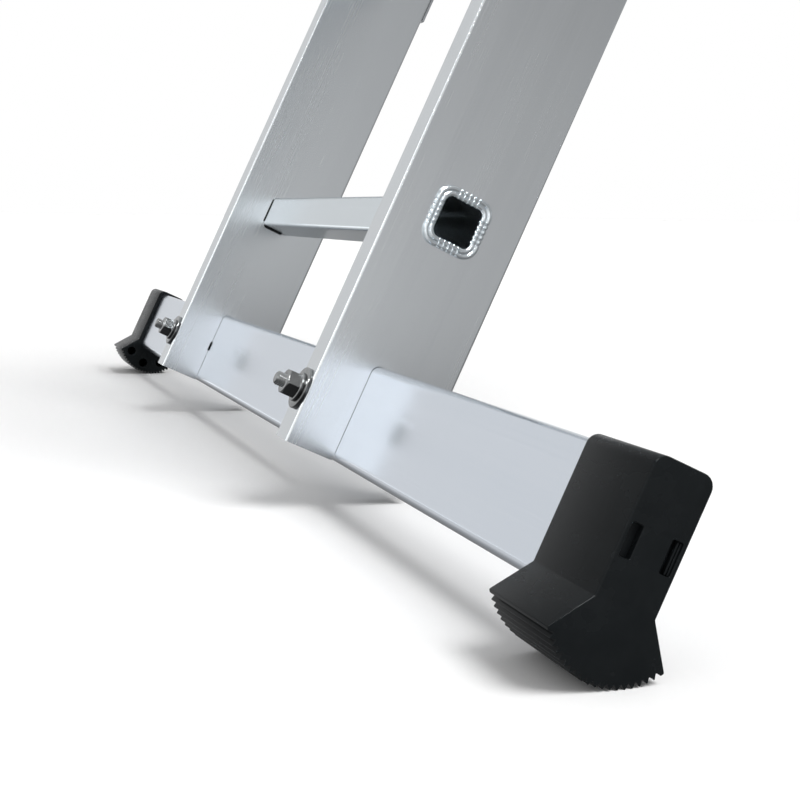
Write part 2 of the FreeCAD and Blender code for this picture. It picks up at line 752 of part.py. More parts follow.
def guide_liner(name, side):
    """A low-friction lining inside the guide bracket, open in the middle for the flared rung ends."""
    body = new_body(f"guide_liner_{name}")
    lip_back = f"({FLY_FRONT} - sizes.slide_gap - sizes.liner_gauge)"
    face = f"({FLY_FRONT} - sizes.slide_gap)"
    inner = "(sizes.fly_half_width + sizes.slide_gap)"
    lip_end = f"{HALF_WIDTH} + sizes.sheet_gauge - sizes.guide_lip"
    points = [
        (HALF_WIDTH, lip_back),
        (HALF_WIDTH, f"{FLY_FRONT} + sizes.liner_front"),
        (inner, f"{FLY_FRONT} + sizes.liner_front"),
        (inner, face),
        (lip_end, face),
        (lip_end, lip_back),
    ]
    pad(body, side_outline(body, "section", side, points), "sizes.guide_height")
    return place(body, f"guide_liner_{name}", z="sizes.guide_bottom")


def lower_guide(name, side):
    """A strap on the fly stile that reaches round the outside and the back of the base stile."""
    body = new_body(f"lower_guide_{name}")
    plate = "(sizes.fly_half_width + sizes.sheet_gauge)"
    leg_inside = f"({HALF_WIDTH} + sizes.strap_clear)"
    leg_outside = f"({leg_inside} + sizes.sheet_gauge)"
    jog_back = "(-sizes.strap_jog)"
    jog_front = "(-sizes.strap_jog - sizes.sheet_gauge)"
    plate_front = f"({jog_front} - sizes.strap_plate)"
    lip_front = "(sizes.stile_depth + sizes.strap_rear_gap)"
    lip_back = f"({lip_front} + sizes.sheet_gauge)"
    lip_end = f"({leg_outside} - sizes.strap_lip)"
    points = [
        ("sizes.fly_half_width", plate_front),
        (plate, plate_front),
        (plate, jog_front),
        (leg_outside, jog_front),
        (leg_outside, lip_back),
        (lip_end, lip_back),
        (lip_end, lip_front),
        (leg_inside, lip_front),
        (leg_inside, jog_back),
        ("sizes.fly_half_width", jog_back),
    ]
    pad(body, side_outline(body, "section", side, points), "sizes.strap_height")
    spots = [(y, f"{z} - sizes.strap_bottom") for y, z in STRAP_RIVETS]
    start = "sizes.fly_half_width - sizes.overshoot"
    side_holes(body, side, "holes", start, THROUGH_SHEET, "sizes.rivet_radius", spots)
    return place(body, f"lower_guide_{name}", z="sizes.strap_bottom")


def lower_guide_liner(name, side):
    """A low-friction pad between the strap's lip and the back of the base stile."""
    body = new_body(f"lower_guide_liner_{name}")
    lip_front = "(sizes.stile_depth + sizes.strap_rear_gap)"
    face = "(sizes.stile_depth + sizes.slide_gap)"
    near = f"({HALF_WIDTH} - sizes.stile_corner)"
    far = f"({HALF_WIDTH} + sizes.strap_clear + sizes.sheet_gauge - sizes.strap_lip)"
    points = [(far, lip_front), (near, lip_front), (near, face), (far, face)]
    pad(body, side_outline(body, "section", side, points), "sizes.strap_height")
    return place(body, f"lower_guide_liner_{name}", z="sizes.strap_bottom")


def fly_stops():
    """A block on each base stile that the lower guide meets at full extension."""
    solids = []
    for name, side in SIDES.items():
        block = document.addObject("Part::Box", f"stop_block_{name}")
        block.setExpression("Length", "sizes.stop_reach")
        block.setExpression("Width", "sizes.stop_depth")
        block.setExpression("Height", "sizes.stop_height")
        start = HALF_WIDTH if side > 0 else f"-{HALF_WIDTH} - sizes.stop_reach"
        corner = FreeCAD.Vector(
            measure(start),
            measure(f"{MID_DEPTH} - sizes.stop_depth / 2"),
            measure("sizes.stop_bottom"),
        )
        block.Placement = FreeCAD.Placement(corner, FreeCAD.Rotation())
        y, z = STOP_RIVETS[0]
        drill_name = f"stop_drill_{name}"
        drill = cylinder(drill_name, "sizes.rivet_radius", "sizes.stop_reach", ALONG_X, start, y, z)
        solids.append(cut(f"stop_{name}", block, drill))
    return group("fly_stops", solids)


def rivets(label, face, grip, wall, spots, inward=False):
    """Blind rivets with a flat head on the given face and a shank through a plate and a stile's wall."""
    solids = []
    way = -1 if inward else 1
    for name, side in SIDES.items():
        for index, (y, z) in enumerate(spots):
            tag = f"{label}_{name}_{index}"
            run = f"({grip} + {wall} + sizes.rivet_head + sizes.rivet_tail)"
            outer = f"({side} * ({face} + {way} * ({grip} + sizes.rivet_head)))"
            inner = f"({side} * ({face} - {way} * ({wall} + sizes.rivet_tail)))"
            head_inner = f"({side} * ({face} + {way} * {grip}))"
            shank_start = inner if side * way > 0 else outer
            head_start = head_inner if side * way > 0 else outer
            shank = cylinder(tag + "_shank", "sizes.rivet_radius", run, ALONG_X, shank_start, y, z)
            head_size = ("sizes.rivet_head_radius", "sizes.rivet_head")
            head = cylinder(tag + "_head", *head_size, ALONG_X, head_start, y, z)
            solids.append(fuse(tag, shank, head))
    return group(label, solids)


# -------------------------------------------------------------------------------------------- rung locks

LOCK_OUTER = f"({FLY_INNER} - sizes.lock_inset)"
LOCK_INNER = f"({FLY_INNER} - sizes.lock_inset - sizes.lock_gauge)"


def lock_housing(name, side):
    """A U-shaped steel housing on the inner face of the fly stile, which carries the lock's pivot."""
    body = new_body(f"lock_housing_{name}")
    ear = f"({FLY_INNER} - sizes.housing_width)"
    front = "(-sizes.pivot_setback - sizes.housing_front)"
    back = "(-sizes.pivot_setback + sizes.housing_back)"
    points = [
        (FLY_INNER, back),
        (FLY_INNER, front),
        (ear, front),
        (ear, back),
        (f"{ear} + sizes.sheet_gauge", back),
        (f"{ear} + sizes.sheet_gauge", f"{front} + sizes.sheet_gauge"),
        (f"{FLY_INNER} - sizes.sheet_gauge", f"{front} + sizes.sheet_gauge"),
        (f"{FLY_INNER} - sizes.sheet_gauge", back),
    ]
    pad(body, side_outline(body, "section", side, points), "sizes.housing_height")
    pivot = [("-sizes.pivot_setback", "sizes.housing_height / 2")]
    before_ear = f"{ear} - sizes.overshoot"
    through_housing = "sizes.housing_width + 2 * sizes.overshoot"
    side_holes(body, side, "pivot", before_ear, through_housing, "sizes.pin_radius", pivot)
    spots = [(y, f"{z} - {HOUSING_BOTTOM}") for y, z in HOUSING_RIVETS]
    before_plate = f"{FLY_INNER} - sizes.sheet_gauge - sizes.overshoot"
    side_holes(body, side, "rivets", before_plate, THROUGH_SHEET, "sizes.rivet_radius", spots)
    return place(body, f"lock_housing_{name}", z=HOUSING_BOTTOM)


def rung_lock(name, side):
    """A hook that rests on a rung of the base section. Its own origin is on the pivot."""
    body = new_body(f"rung_lock_{name}")
    start = LOCK_INNER if side > 0 else f"-{LOCK_OUTER}"
    arm = new_sketch(body, "YZ_Plane", "arm", out=start)
    seat = f"({SECOND_RUNG_TOP} + sizes.lock_rest_gap - sizes.pivot_height)"
    rung_back = f"({MID_DEPTH} + sizes.rung_side / 2 + sizes.pivot_setback)"
    outline(
        arm,
        [
            ("-sizes.shoulder", "sizes.boss_radius - sizes.arm_inset"),
            ("-sizes.boss_radius + sizes.arm_inset", "-sizes.shoulder"),
            ("sizes.belly_reach", "-sizes.belly_drop"),
            ("sizes.seat_reach", seat),
            (f"{rung_back} + sizes.hook_gap", seat),
            (f"{rung_back} + sizes.hook_draft", f"{seat} - sizes.hook_drop"),
            (f"{rung_back} + sizes.hook_tip", f"{seat} - sizes.hook_drop"),
            (f"{rung_back} + sizes.hook_heel", f"{seat} + sizes.heel_rise"),
            (f"{rung_back} + sizes.crown_reach", f"{seat} + sizes.crown_rise"),
            ("sizes.spine_reach", "-sizes.spine_drop"),
            ("sizes.nape_reach", "sizes.boss_radius - sizes.shoulder"),
        ],
    )
    pad(body, arm, "sizes.lock_gauge")
    boss = new_sketch(body, "YZ_Plane", "boss", out=start)
    circle_at(boss, "boss", "sizes.boss_radius")
    pad(body, boss, "sizes.lock_gauge")
    bore = new_sketch(body, "YZ_Plane", "bore", out=f"{start} - sizes.overshoot")
    circle_at(bore, "bore", "sizes.pin_radius + sizes.pin_clearance")
    pocket(body, bore, "sizes.lock_gauge + 2 * sizes.overshoot")
    return place(body, f"rung_lock_{name}", y="-sizes.pivot_setback", z="sizes.pivot_height")


def lock_pin(name, side):
    ear = f"({FLY_INNER} - sizes.housing_width)"
    shank_start = ear if side > 0 else f"-{FLY_INNER}"
    head_start = f"{ear} - sizes.pin_head" if side > 0 else f"-{ear}"
    shank = cylinder(f"pin_shank_{name}", "sizes.pin_radius", "sizes.housing_width", ALONG_X, shank_start)
    head = cylinder(f"pin_head_{name}", "sizes.pin_head_radius", "sizes.pin_head", ALONG_X, head_start)
    pin = fuse(f"lock_pin_{name}", shank, head)
    return place(pin, f"lock_pin_{name}", y="-sizes.pivot_setback", z="sizes.pivot_height")


def lock_spring(name, side):
    """The close-wound torsion spring round the pin, between the housing's inner ear and the lock."""
    ear_face = f"({FLY_INNER} - sizes.housing_width + sizes.sheet_gauge)"
    room = f"({LOCK_INNER} - {ear_face})"
    length = f"({room} - sizes.spring_play)"
    start = f"({ear_face} + sizes.spring_play / 2)"
    outer = cylinder(f"spring_outside_{name}", "sizes.spring_radius + sizes.spring_wire", length)
    bore = cylinder(f"spring_bore_{name}", "sizes.spring_radius - sizes.spring_wire", length)
    coil = cut(f"lock_spring_{name}", outer, bore)
    left_end = start if side > 0 else f"-{start} - {length}"
    return place(coil, f"lock_spring_{name}", left_end, "-sizes.pivot_setback", "sizes.pivot_height", ALONG_X)


# ----------------------------------------------------------------------------------------------- assembly


def build():
    """Makes every piece of the ladder."""
    stabiliser_bar()
    bolts()
    bolt_hardware()
    for number in range(1, int(measure("sizes.base_rungs")) + 1):
        height = f"sizes.first_rung + {number - 1} * sizes.rung_pitch"
        rung(f"base_rung_{number}", HALF_WIDTH, "sizes.flare_height", MID_DEPTH, height)
    for number in range(1, int(measure("sizes.fly_rungs")) + 1):
        height = f"{FIRST_FLY_RUNG} + {number - 1} * sizes.rung_pitch"
        rung(f"fly_rung_{number}", "sizes.fly_half_width", "sizes.fly_flare_height", FLY_MID, height)
    for name, side in SIDES.items():
        base_stile(name, side)
        fly_stile(name, side)
        foot_cap(name, side)
        base_x = f"{side} * {STILE_CENTRE}"
        fly_x = f"{side} * {FLY_STILE_CENTRE}"
        top = "sizes.base_length"
        bottom = "sizes.fly_bottom"
        base_size = ("sizes.stile_depth", "sizes.stile_wall")
        fly_size = ("sizes.fly_depth", "sizes.fly_wall")
        end_cap(f"base_top_cap_{name}", base_x, MID_DEPTH, top, *base_size, upward=True)
        end_cap(f"fly_top_cap_{name}", fly_x, FLY_MID, top, *fly_size, upward=True)
        end_cap(f"fly_foot_cap_{name}", fly_x, FLY_MID, bottom, *fly_size, upward=False)
        guide_bracket(name, side)
        guide_liner(name, side)
        lower_guide(name, side)
        lower_guide_liner(name, side)
        lock_housing(name, side)
        rung_lock(name, side)
        lock_pin(name, side)
        lock_spring(name, side)
    fly_stops()
    rivets("guide_rivets", HALF_WIDTH, "sizes.sheet_gauge", "sizes.stile_wall", GUIDE_RIVETS)
    rivets("stop_rivets", HALF_WIDTH, "sizes.stop_reach", "sizes.stile_wall", STOP_RIVETS)
    rivets("strap_rivets", "sizes.fly_half_width", "sizes.sheet_gauge", "sizes.fly_wall", STRAP_RIVETS)
    rivets("housing_rivets", FLY_INNER, "sizes.sheet_gauge", "sizes.fly_wall", HOUSING_RIVETS, inward=True)


def check():
    """Stops if an object failed to recompute or a piece is empty or not a valid solid."""
    for item in document.Objects:
        if "Invalid" in item.State or "Error" in item.State:
            raise RuntimeError(f"{item.Label} failed: {item.State}")
    for piece in nodes:
        if piece.Shape.isNull() or not piece.Shape.isValid() or not piece.Shape.Solids:
            raise RuntimeError(f"{piece.Label} has no valid solid")


def export():
    os.makedirs("parts", exist_ok=True)
    for piece in nodes:
        piece.Shape.exportStep(f"parts/{piece.Label}.step")


build()
document.recompute()
check()
export()
print(f"{len(nodes)} nodes")
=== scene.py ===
# An extension ladder, seen from beside its stabiliser bar in a plain white studio.
#
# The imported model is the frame: the pieces take their places and overall sizes from its nodes. They are
# worked out in the ladder's own directions, X across it, Y through it from the climber's side, and Z up along
# its stiles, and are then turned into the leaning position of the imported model. Named sizes of pieces are in
# millimetres.

import json
import math

import bmesh
import bpy
from mathutils import Matrix, Vector


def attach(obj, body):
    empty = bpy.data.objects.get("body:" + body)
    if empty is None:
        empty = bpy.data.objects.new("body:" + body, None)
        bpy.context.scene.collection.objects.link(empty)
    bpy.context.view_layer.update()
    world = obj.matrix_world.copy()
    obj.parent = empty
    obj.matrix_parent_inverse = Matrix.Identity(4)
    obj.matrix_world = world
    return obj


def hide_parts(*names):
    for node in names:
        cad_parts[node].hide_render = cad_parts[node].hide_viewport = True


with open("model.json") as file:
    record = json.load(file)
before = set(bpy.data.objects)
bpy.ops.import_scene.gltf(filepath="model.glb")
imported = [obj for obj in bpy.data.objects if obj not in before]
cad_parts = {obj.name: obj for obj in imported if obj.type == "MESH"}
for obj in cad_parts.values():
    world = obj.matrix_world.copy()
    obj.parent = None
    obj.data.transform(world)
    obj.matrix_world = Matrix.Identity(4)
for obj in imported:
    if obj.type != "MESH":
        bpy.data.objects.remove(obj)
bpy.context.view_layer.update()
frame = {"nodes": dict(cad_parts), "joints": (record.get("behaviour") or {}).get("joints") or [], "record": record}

MM = 0.001
SAME_POINT = 0.001 * MM
X, Y, Z = range(3)
NODES = frame["nodes"]
SIDES = {"right": 1, "left": -1}

# ------------------------------------------------------------------------------------ the ladder's directions

UP = Vector(next(joint["axis"] for joint in frame["joints"] if joint["name"] == "fly_slide")).normalized()
ACROSS = Vector((1, 0, 0))
BACK = UP.cross(ACROSS)
TO_ROW = Matrix((ACROSS, BACK, UP)).transposed()
TO_LADDER = TO_ROW.transposed()
LEAN = math.atan2(UP.y, UP.z)


def box_of(points):
    """The lowest and highest corner of some points."""
    low = Vector(min(point[axis] for point in points) for axis in range(3))
    high = Vector(max(point[axis] for point in points) for axis in range(3))
    return low, high


def ladder_box(node):
    """A CAD node's lowest and highest corner in the ladder's own directions."""
    return box_of([TO_LADDER @ vertex.co for vertex in NODES[node].data.vertices])


def solids_of(node):
    """The boxes, in the ladder's own directions, of the separate solids in a CAD node."""
    shape = bmesh.new()
    shape.from_mesh(NODES[node].data)
    bmesh.ops.remove_doubles(shape, verts=shape.verts, dist=SAME_POINT)
    waiting = set(shape.verts)
    boxes = []
    while waiting:
        found = [waiting.pop()]
        points = []
        while found:
            vertex = found.pop()
            points.append(TO_LADDER @ vertex.co)
            for edge in vertex.link_edges:
                other = edge.other_vert(vertex)
                if other in waiting:
                    waiting.remove(other)
                    found.append(other)
        boxes.append(box_of(points))
    shape.free()
    return sorted(boxes, key=lambda corners: tuple(round(value, 4) for value in corners[0]))


# --------------------------------------------------------------------------------------------- materials


class Nodes:
    """Short calls for building a material's or the world's node tree."""

    def __init__(self, tree):
        self.tree = tree
        tree.nodes.clear()

    def add(self, kind, **settings):
        node = self.tree.nodes.new(kind)
        for key, value in settings.items():
            setattr(node, key, value)
        return node

    def put(self, node, socket, value):
        """Sets an input to a number, or joins it to another node's output."""
        if isinstance(value, bpy.types.NodeSocket):
            self.tree.links.new(value, node.inputs[socket])
        else:
            node.inputs[socket].default_value = value

    def math(self, operation, first, second=0.0):
        node = self.add("ShaderNodeMath", operation=operation)
        self.put(node, 0, first)
        self.put(node, 1, second)
        return node.outputs[0]

    def weighted(self, *parts):
        """The sum of values that are each given with a weight."""
        total = None
        for value, weight in parts:
            share = self.math("MULTIPLY", value, weight)
            total = share if total is None else self.math("ADD", total, share)
        return total

    def ramp(self, value, low, high, start=0.0, end=1.0):
        """value, from low to high, as a number from start to end."""
        node = self.add("ShaderNodeMapRange", interpolation_type="SMOOTHSTEP")
        for socket, number in enumerate((value, low, high, start, end)):
            self.put(node, socket, number)
        return node.outputs[0]

    def blend(self, amount, first, second):
        """A colour between two colours."""
        node = self.add("ShaderNodeMix", data_type="RGBA")
        self.put(node, 0, amount)
        self.put(node, 6, (*first, 1))
        self.put(node, 7, (*second, 1))
        return node.outputs[2]

    def ladder_place(self):
        """A point's place in the ladder's own directions."""
        place = self.add("ShaderNodeTexCoord")
        turn = self.add("ShaderNodeMapping")
        self.put(turn, "Vector", place.outputs["Object"])
        self.put(turn, "Rotation", (LEAN, 0, 0))
        return turn.outputs[0]

    def noise(self, place, scales, detail=2.0, roughness=0.5):
        """Noise stretched by a scale along each of the ladder's directions."""
        stretch = self.add("ShaderNodeMapping")
        self.put(stretch, "Vector", place)
        self.put(stretch, "Scale", scales)
        node = self.add("ShaderNodeTexNoise")
        self.put(node, "Vector", stretch.outputs[0])
        self.put(node, "Scale", 1.0)
        self.put(node, "Detail", detail)
        self.put(node, "Roughness", roughness)
        return node.outputs[0]

    def bump(self, height, strength, distance):
        node = self.add("ShaderNodeBump")
        self.put(node, "Height", height)
        self.put(node, "Strength", strength)
        self.put(node, "Distance", distance)
        return node.outputs[0]

    def choose(self, share, first, second):
        """The first shader where share is 0, and the second where it is 1."""
        node = self.add("ShaderNodeMixShader")
        for socket, value in enumerate((share, first, second)):
            self.put(node, socket, value)
        return node.outputs[0]

    def background(self, colour, strength):
        node = self.add("ShaderNodeBackground")
        self.put(node, "Color", (*colour, 1))
        self.put(node, "Strength", strength)
        return node.outputs[0]


def new_material(name):
    material = bpy.data.materials.new(name)
    material.use_nodes = True
    nodes = Nodes(material.node_tree)
    shader = nodes.add("ShaderNodeBsdfPrincipled")
    output = nodes.add("ShaderNodeOutputMaterial", name="Material Output")
    nodes.put(output, "Surface", shader.outputs[0])
    return material, nodes, shader


# Where most values of a noise lie, and the same a little narrower.
NOISE_RANGE = (0.3, 0.7)
CLOUD_RANGE = (0.32, 0.68)

# Scales of the noise in drawn metal, per metre: across and along its lines, and the same for its bands.
LINES_ACROSS, LINES_ALONG = 900.0, 5.0
BANDS_ACROSS, BANDS_ALONG = LINES_ACROSS * 0.05, LINES_ALONG * 0.12
BLOTCHES = (9.0, 9.0, 9.0)
SPECKS = (2500.0, 2500.0, 2500.0)


def drawn_metal(name, dark, light, roughness, along, streak, relief):
    """Satin metal with fine lines along one of the ladder's directions, faint bands and soft blotches."""
    material, nodes, shader = new_material(name)
    place = nodes.ladder_place()
    fine_scale = [LINES_ALONG if axis == along else LINES_ACROSS for axis in range(3)]
    band_scale = [BANDS_ALONG if axis == along else BANDS_ACROSS for axis in range(3)]
    fine = nodes.noise(place, fine_scale, detail=4.0, roughness=0.7)
    band = nodes.noise(place, band_scale)
    blotch = nodes.noise(place, BLOTCHES, detail=3.0, roughness=0.6)
    speck = nodes.noise(place, SPECKS, detail=1.0)
    mixed = nodes.weighted((fine, 0.45), (band, 0.3), (blotch, 0.25))
    nodes.put(shader, "Base Color", nodes.blend(nodes.ramp(mixed, *NOISE_RANGE), dark, light))
    shader.inputs["Metallic"].default_value = 1.0
    rough = nodes.math("ADD", nodes.ramp(mixed, *NOISE_RANGE, -streak, streak), roughness)
    nodes.put(shader, "Roughness", rough)
    relief_height = nodes.math("ADD", fine, nodes.math("MULTIPLY", speck, 0.3))
    nodes.put(shader, "Normal", nodes.bump(relief_height, relief, 0.05 * MM))
    return material


def plated_steel(name, dark, light, roughness, grain=700.0, relief=0.08, painted_shade_below=False):
    """Plated or bare metal: fine grain, faint cloudiness, and where asked, painted shade that darkens the colour
    of faces turned downwards.
    """
    material, nodes, shader = new_material(name)
    place = nodes.ladder_place()
    cloud = nodes.noise(place, (60.0, 60.0, 60.0), detail=4.0, roughness=0.65)
    fine = nodes.noise(place, (grain, grain, grain), detail=3.0)
    mixed = nodes.weighted((cloud, 0.65), (fine, 0.35))
    tone = nodes.ramp(mixed, *CLOUD_RANGE)
    if painted_shade_below:
        # Painted shade: the colour darkens as a face turns downwards, going by the direction of its normal.
        facing = nodes.add("ShaderNodeSeparateXYZ")
        nodes.put(facing, 0, nodes.add("ShaderNodeNewGeometry").outputs["Normal"])
        unshaded_share = nodes.ramp(facing.outputs["Z"], -0.40, 0.95)
        tone = nodes.math("MULTIPLY", unshaded_share, nodes.ramp(mixed, *CLOUD_RANGE, 0.7, 1.0))
    nodes.put(shader, "Base Color", nodes.blend(tone, dark, light))
    shader.inputs["Metallic"].default_value = 1.0
    nodes.put(shader, "Roughness", nodes.ramp(mixed, *NOISE_RANGE, roughness + 0.08, roughness - 0.06))
    nodes.put(shader, "Normal", nodes.bump(fine, relief, 0.1 * MM))
    return material


def moulded(name, dark, light, roughness, grain=1400.0, relief=0.12, gloss=0.35):
    """Moulded rubber or plastic: a fine spark-eroded grain, slow tone changes and dull rubbed patches."""
    material, nodes, shader = new_material(name)
    place = nodes.ladder_place()
    grit = nodes.noise(place, (grain, grain, grain), detail=3.0, roughness=0.6)
    cloud = nodes.noise(place, (25.0, 25.0, 25.0), detail=4.0, roughness=0.6)
    flow = nodes.noise(place, (12.0, 90.0, 90.0))
    mixed = nodes.weighted((cloud, 0.6), (flow, 0.4))
    nodes.put(shader, "Base Color", nodes.blend(nodes.ramp(mixed, *NOISE_RANGE), dark, light))
    nodes.put(shader, "Roughness", nodes.ramp(mixed, *NOISE_RANGE, roughness - 0.06, roughness + 0.08))
    shader.inputs["Specular IOR Level"].default_value = gloss
    nodes.put(shader, "Normal", nodes.bump(grit, relief, 0.12 * MM))
    return material


MATERIALS = {
    "stile_aluminium": drawn_metal(
        "stile_aluminium", (0.75, 0.775, 0.795), (0.80, 0.825, 0.845), 0.26, Z, streak=0.02, relief=0.008
    ),
    "rung_aluminium": drawn_metal(
        "rung_aluminium", (0.75, 0.80, 0.83), (0.82, 0.87, 0.90), 0.24, X, streak=0.03, relief=0.02
    ),
    "bar_aluminium": drawn_metal(
        "bar_aluminium", (0.78, 0.83, 0.90), (0.82, 0.865, 0.93), 0.18, X, streak=0.02, relief=0.02
    ),
    "foot_rubber": moulded(
        "foot_rubber", (0.0060, 0.0074, 0.0082), (0.0088, 0.0104, 0.0114), 0.25, gloss=0.10
    ),
    "liner_plastic": moulded("liner_plastic", (0.045, 0.045, 0.050), (0.060, 0.060, 0.066), 0.45),
    "cap_plastic": moulded(
        "cap_plastic", (0.024, 0.026, 0.028), (0.036, 0.038, 0.041), 0.45, grain=1100.0, relief=0.2
    ),
    "rivet_aluminium": plated_steel("rivet_aluminium", (0.70, 0.71, 0.72), (0.86, 0.87, 0.88), 0.28),
    # Only the painted shade on faces turned downwards reaches the dark colour of zinc_steel.
    "zinc_steel": plated_steel(
        "zinc_steel", (0.035, 0.036, 0.037), (0.46, 0.47, 0.47), 0.17, painted_shade_below=True
    ),
    "bracket_steel": plated_steel(
        "bracket_steel", (0.50, 0.51, 0.53), (0.64, 0.66, 0.68), 0.34, grain=900.0
    ),
    "lock_steel": plated_steel(
        "lock_steel", (0.36, 0.37, 0.39), (0.50, 0.52, 0.54), 0.40, grain=500.0, relief=0.2
    ),
    "spring_steel": plated_steel("spring_steel", (0.14, 0.14, 0.15), (0.24, 0.24, 0.25), 0.30),
}
for row in frame["record"]["subparts"]:
    finish = NODES[row["node"]].data.materials
    finish.clear()
    finish.append(MATERIALS[row["material_slot"]])


# ------------------------------------------------------------------------------------------- mesh helpers


def add_piece(name, shape, slot, body, stands_for=(), sharp=35):
    """Turns a bmesh in the ladder's own directions into a piece that rides on a body."""
    bmesh.ops.remove_doubles(shape, verts=shape.verts, dist=SAME_POINT)
    bmesh.ops.recalc_face_normals(shape, faces=shape.faces)
    mesh = bpy.data.meshes.new(name)
    shape.to_mesh(mesh)
    shape.free()
    mesh.transform(TO_ROW.to_4x4())
    mesh.shade_smooth()
    mesh.set_sharp_from_angle(angle=math.radians(sharp))
    mesh.materials.append(MATERIALS[slot])
    piece = bpy.data.objects.new(name, mesh)
    bpy.context.scene.collection.objects.link(piece)
    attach(piece, body)
    if stands_for:
        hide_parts(*stands_for)
    return piece


def loft(shape, rings, closed=True):
    """Faces between rings of points that have the same count. The last ring joins the first if closed."""
    made = [[shape.verts.new(point) for point in ring] for ring in rings]
    pairs = list(zip(made, made[1:]))
    if closed:
        pairs.append((made[-1], made[0]))
    for before, after in pairs:
        for index in range(len(before)):
            following = (index + 1) % len(before)
            shape.faces.new((before[index], before[following], after[following], after[index]))
    return made


def turned(shape, profile, centre, axis, steps=48, reach=None, closed=False):
    """A turned form. profile holds (distance along the axis, radius), and reach may change the radius."""
    side, other = [direction for direction in range(3) if direction != axis]
    rings = []
    for along, radius in profile:
        ring = []
        for step in range(steps):
            angle = math.tau * step / steps
            size = reach(angle, along, radius) if reach else radius
            point = Vector(centre)
            point[axis] += along
            point[side] += size * math.cos(angle)
            point[other] += size * math.sin(angle)
            ring.append(point)
        rings.append(ring)
    loft(shape, rings, closed)


def placed(flat, axis, level):
    """A 3-D point from a 2-D one and its level along an axis."""
    point = [flat[0], flat[1]]
    point.insert(axis, level)
    return Vector(point)


def loops_at(node, axis, level):
    """The outlines of a CAD node's flat face at a level of an axis: the outside first, then the holes."""
    shape = bmesh.new()
    shape.from_mesh(NODES[node].data)
    bmesh.ops.transform(shape, matrix=TO_LADDER.to_4x4(), verts=shape.verts)
    bmesh.ops.remove_doubles(shape, verts=shape.verts, dist=SAME_POINT)
    flat = {face for face in shape.faces if all(abs(v.co[axis] - level) < 0.01 * MM for v in face.verts)}
    beside = {}
    for edge in shape.edges:
        if sum(face in flat for face in edge.link_faces) == 1:
            for vertex in edge.verts:
                beside.setdefault(vertex, []).append(edge.other_vert(vertex))
    loops = []
    while beside:
        walk = [next(iter(beside))]
        while True:
            onward = [vertex for vertex in beside.pop(walk[-1]) if vertex in beside]
            if not onward:
                break
            walk.append(onward[0])
        points = [[value for index, value in enumerate(vertex.co) if index != axis] for vertex in walk]
        loops.append([Vector(point) for point in points])
    shape.free()
    loops.sort(key=lambda loop: -abs(area_of(loop)))
    for index, loop in enumerate(loops):
        if (area_of(loop) > 0) != (index == 0):
            loop.reverse()
    return [straightened(loop) for loop in loops]


def area_of(loop):
    return sum(one.x * two.y - two.x * one.y for one, two in zip(loop, loop[1:] + loop[:1])) / 2


def neighbours(loop):
    """Each point of a loop, between the one before it and the one after it."""
    return zip(loop[-1:] + loop[:-1], loop, loop[1:] + loop[:1])


def straightened(loop):
    """A loop without the points that lie on a straight run."""
    kept = []
    for before, here, after in neighbours(loop):
        if abs((here - before).angle_signed(after - here)) > math.radians(0.5):
            kept.append(here)
    return kept


# A corner more open than this stays as it is, and an arc takes up to this share of a side.
OPEN_CORNER = math.radians(150)
SIDE_SHARE = 0.48


def filleted(loop, radius_at, steps=4):
    """A loop with arcs for its corners. radius_at gets a corner's two sides and whether it sticks out."""
    result = []
    for before, here, after in neighbours(loop):
        back = before - here
        ahead = after - here
        inside = back.angle(ahead)
        if inside > OPEN_CORNER:
            result.append(here)
            continue
        out = (here - before).x * (after - here).y - (here - before).y * (after - here).x > 0
        radius = radius_at(back.length, ahead.length, out)
        if radius == 0:
            result.append(here)
            continue
        reach = min(radius / math.tan(inside / 2), SIDE_SHARE * back.length, SIDE_SHARE * ahead.length)
        radius = reach * math.tan(inside / 2)
        middle = (back.normalized() + ahead.normalized()).normalized()
        centre = here + middle * radius / math.sin(inside / 2)
        first = here + back.normalized() * reach - centre
        sweep = (math.pi - inside) * (1 if out else -1)
        for step in range(steps + 1):
            turn = Matrix.Rotation(sweep * step / steps, 2)
            result.append(centre + turn @ first)
    return result


def inset(loop, amounts):
    """A loop moved to its left by an amount at each point."""
    result = []
    for (before, here, after), amount in zip(neighbours(loop), amounts):
        one = (here - before).normalized()
        two = (after - here).normalized()
        normal = Vector((-one.y - two.y, one.x + two.x)) / 2
        result.append(here + normal * amount / max(0.25, normal.length_squared))
    return result


def even(radius):
    """The same radius at every corner, for filleted()."""
    return lambda back, ahead, out: radius


def ring_edges(shape, ring):
    edges = []
    for pair in zip(ring, ring[1:] + ring[:1]):
        edges.append(shape.edges.get(pair) or shape.edges.new(pair))
    return edges


def lid(shape, rings, axis):
    """A flat face with holes, from the rings of points round them."""
    edges = [edge for ring in rings for edge in ring_edges(shape, ring)]
    normal = Vector(1.0 if index == axis else 0.0 for index in range(3))
    bmesh.ops.triangle_fill(shape, edges=edges, use_beauty=True, normal=normal)


# The turns, from a face to its side, at which a rounded edge has its points.
EDGE_TURNS = [math.pi / 2 * step / 3 for step in range(4)]


def prism(shape, loops, axis, low, high, edge, edge_at=None, ends=(True, True)):
    """A solid between two levels, from an outline and the outlines of its holes, with rounded edges."""
    firsts, lasts = [], []
    for loop in loops:
        amounts = [edge_at(point) if edge_at else edge for point in loop]
        rings = []
        for level, way in ((low, 1), (high, -1)):
            for turn in EDGE_TURNS[::way]:
                flat = inset(loop, [amount * (1 - math.sin(turn)) for amount in amounts])
                rise = [way * amount * (1 - math.cos(turn)) for amount in amounts]
                rings.append([placed(point, axis, level + up) for point, up in zip(flat, rise)])
        made = loft(shape, rings, closed=False)
        firsts.append(made[0])
        lasts.append(made[-1])
    for wanted, found in zip(ends, (firsts, lasts)):
        if wanted:
            lid(shape, found, axis)
    return firsts, lasts


def rectangle(low, high):
    return [Vector(low), Vector((high[0], low[1])), Vector(high), Vector((low[0], high[1]))]


# --------------------------------------------------------------------------------------------------- rungs

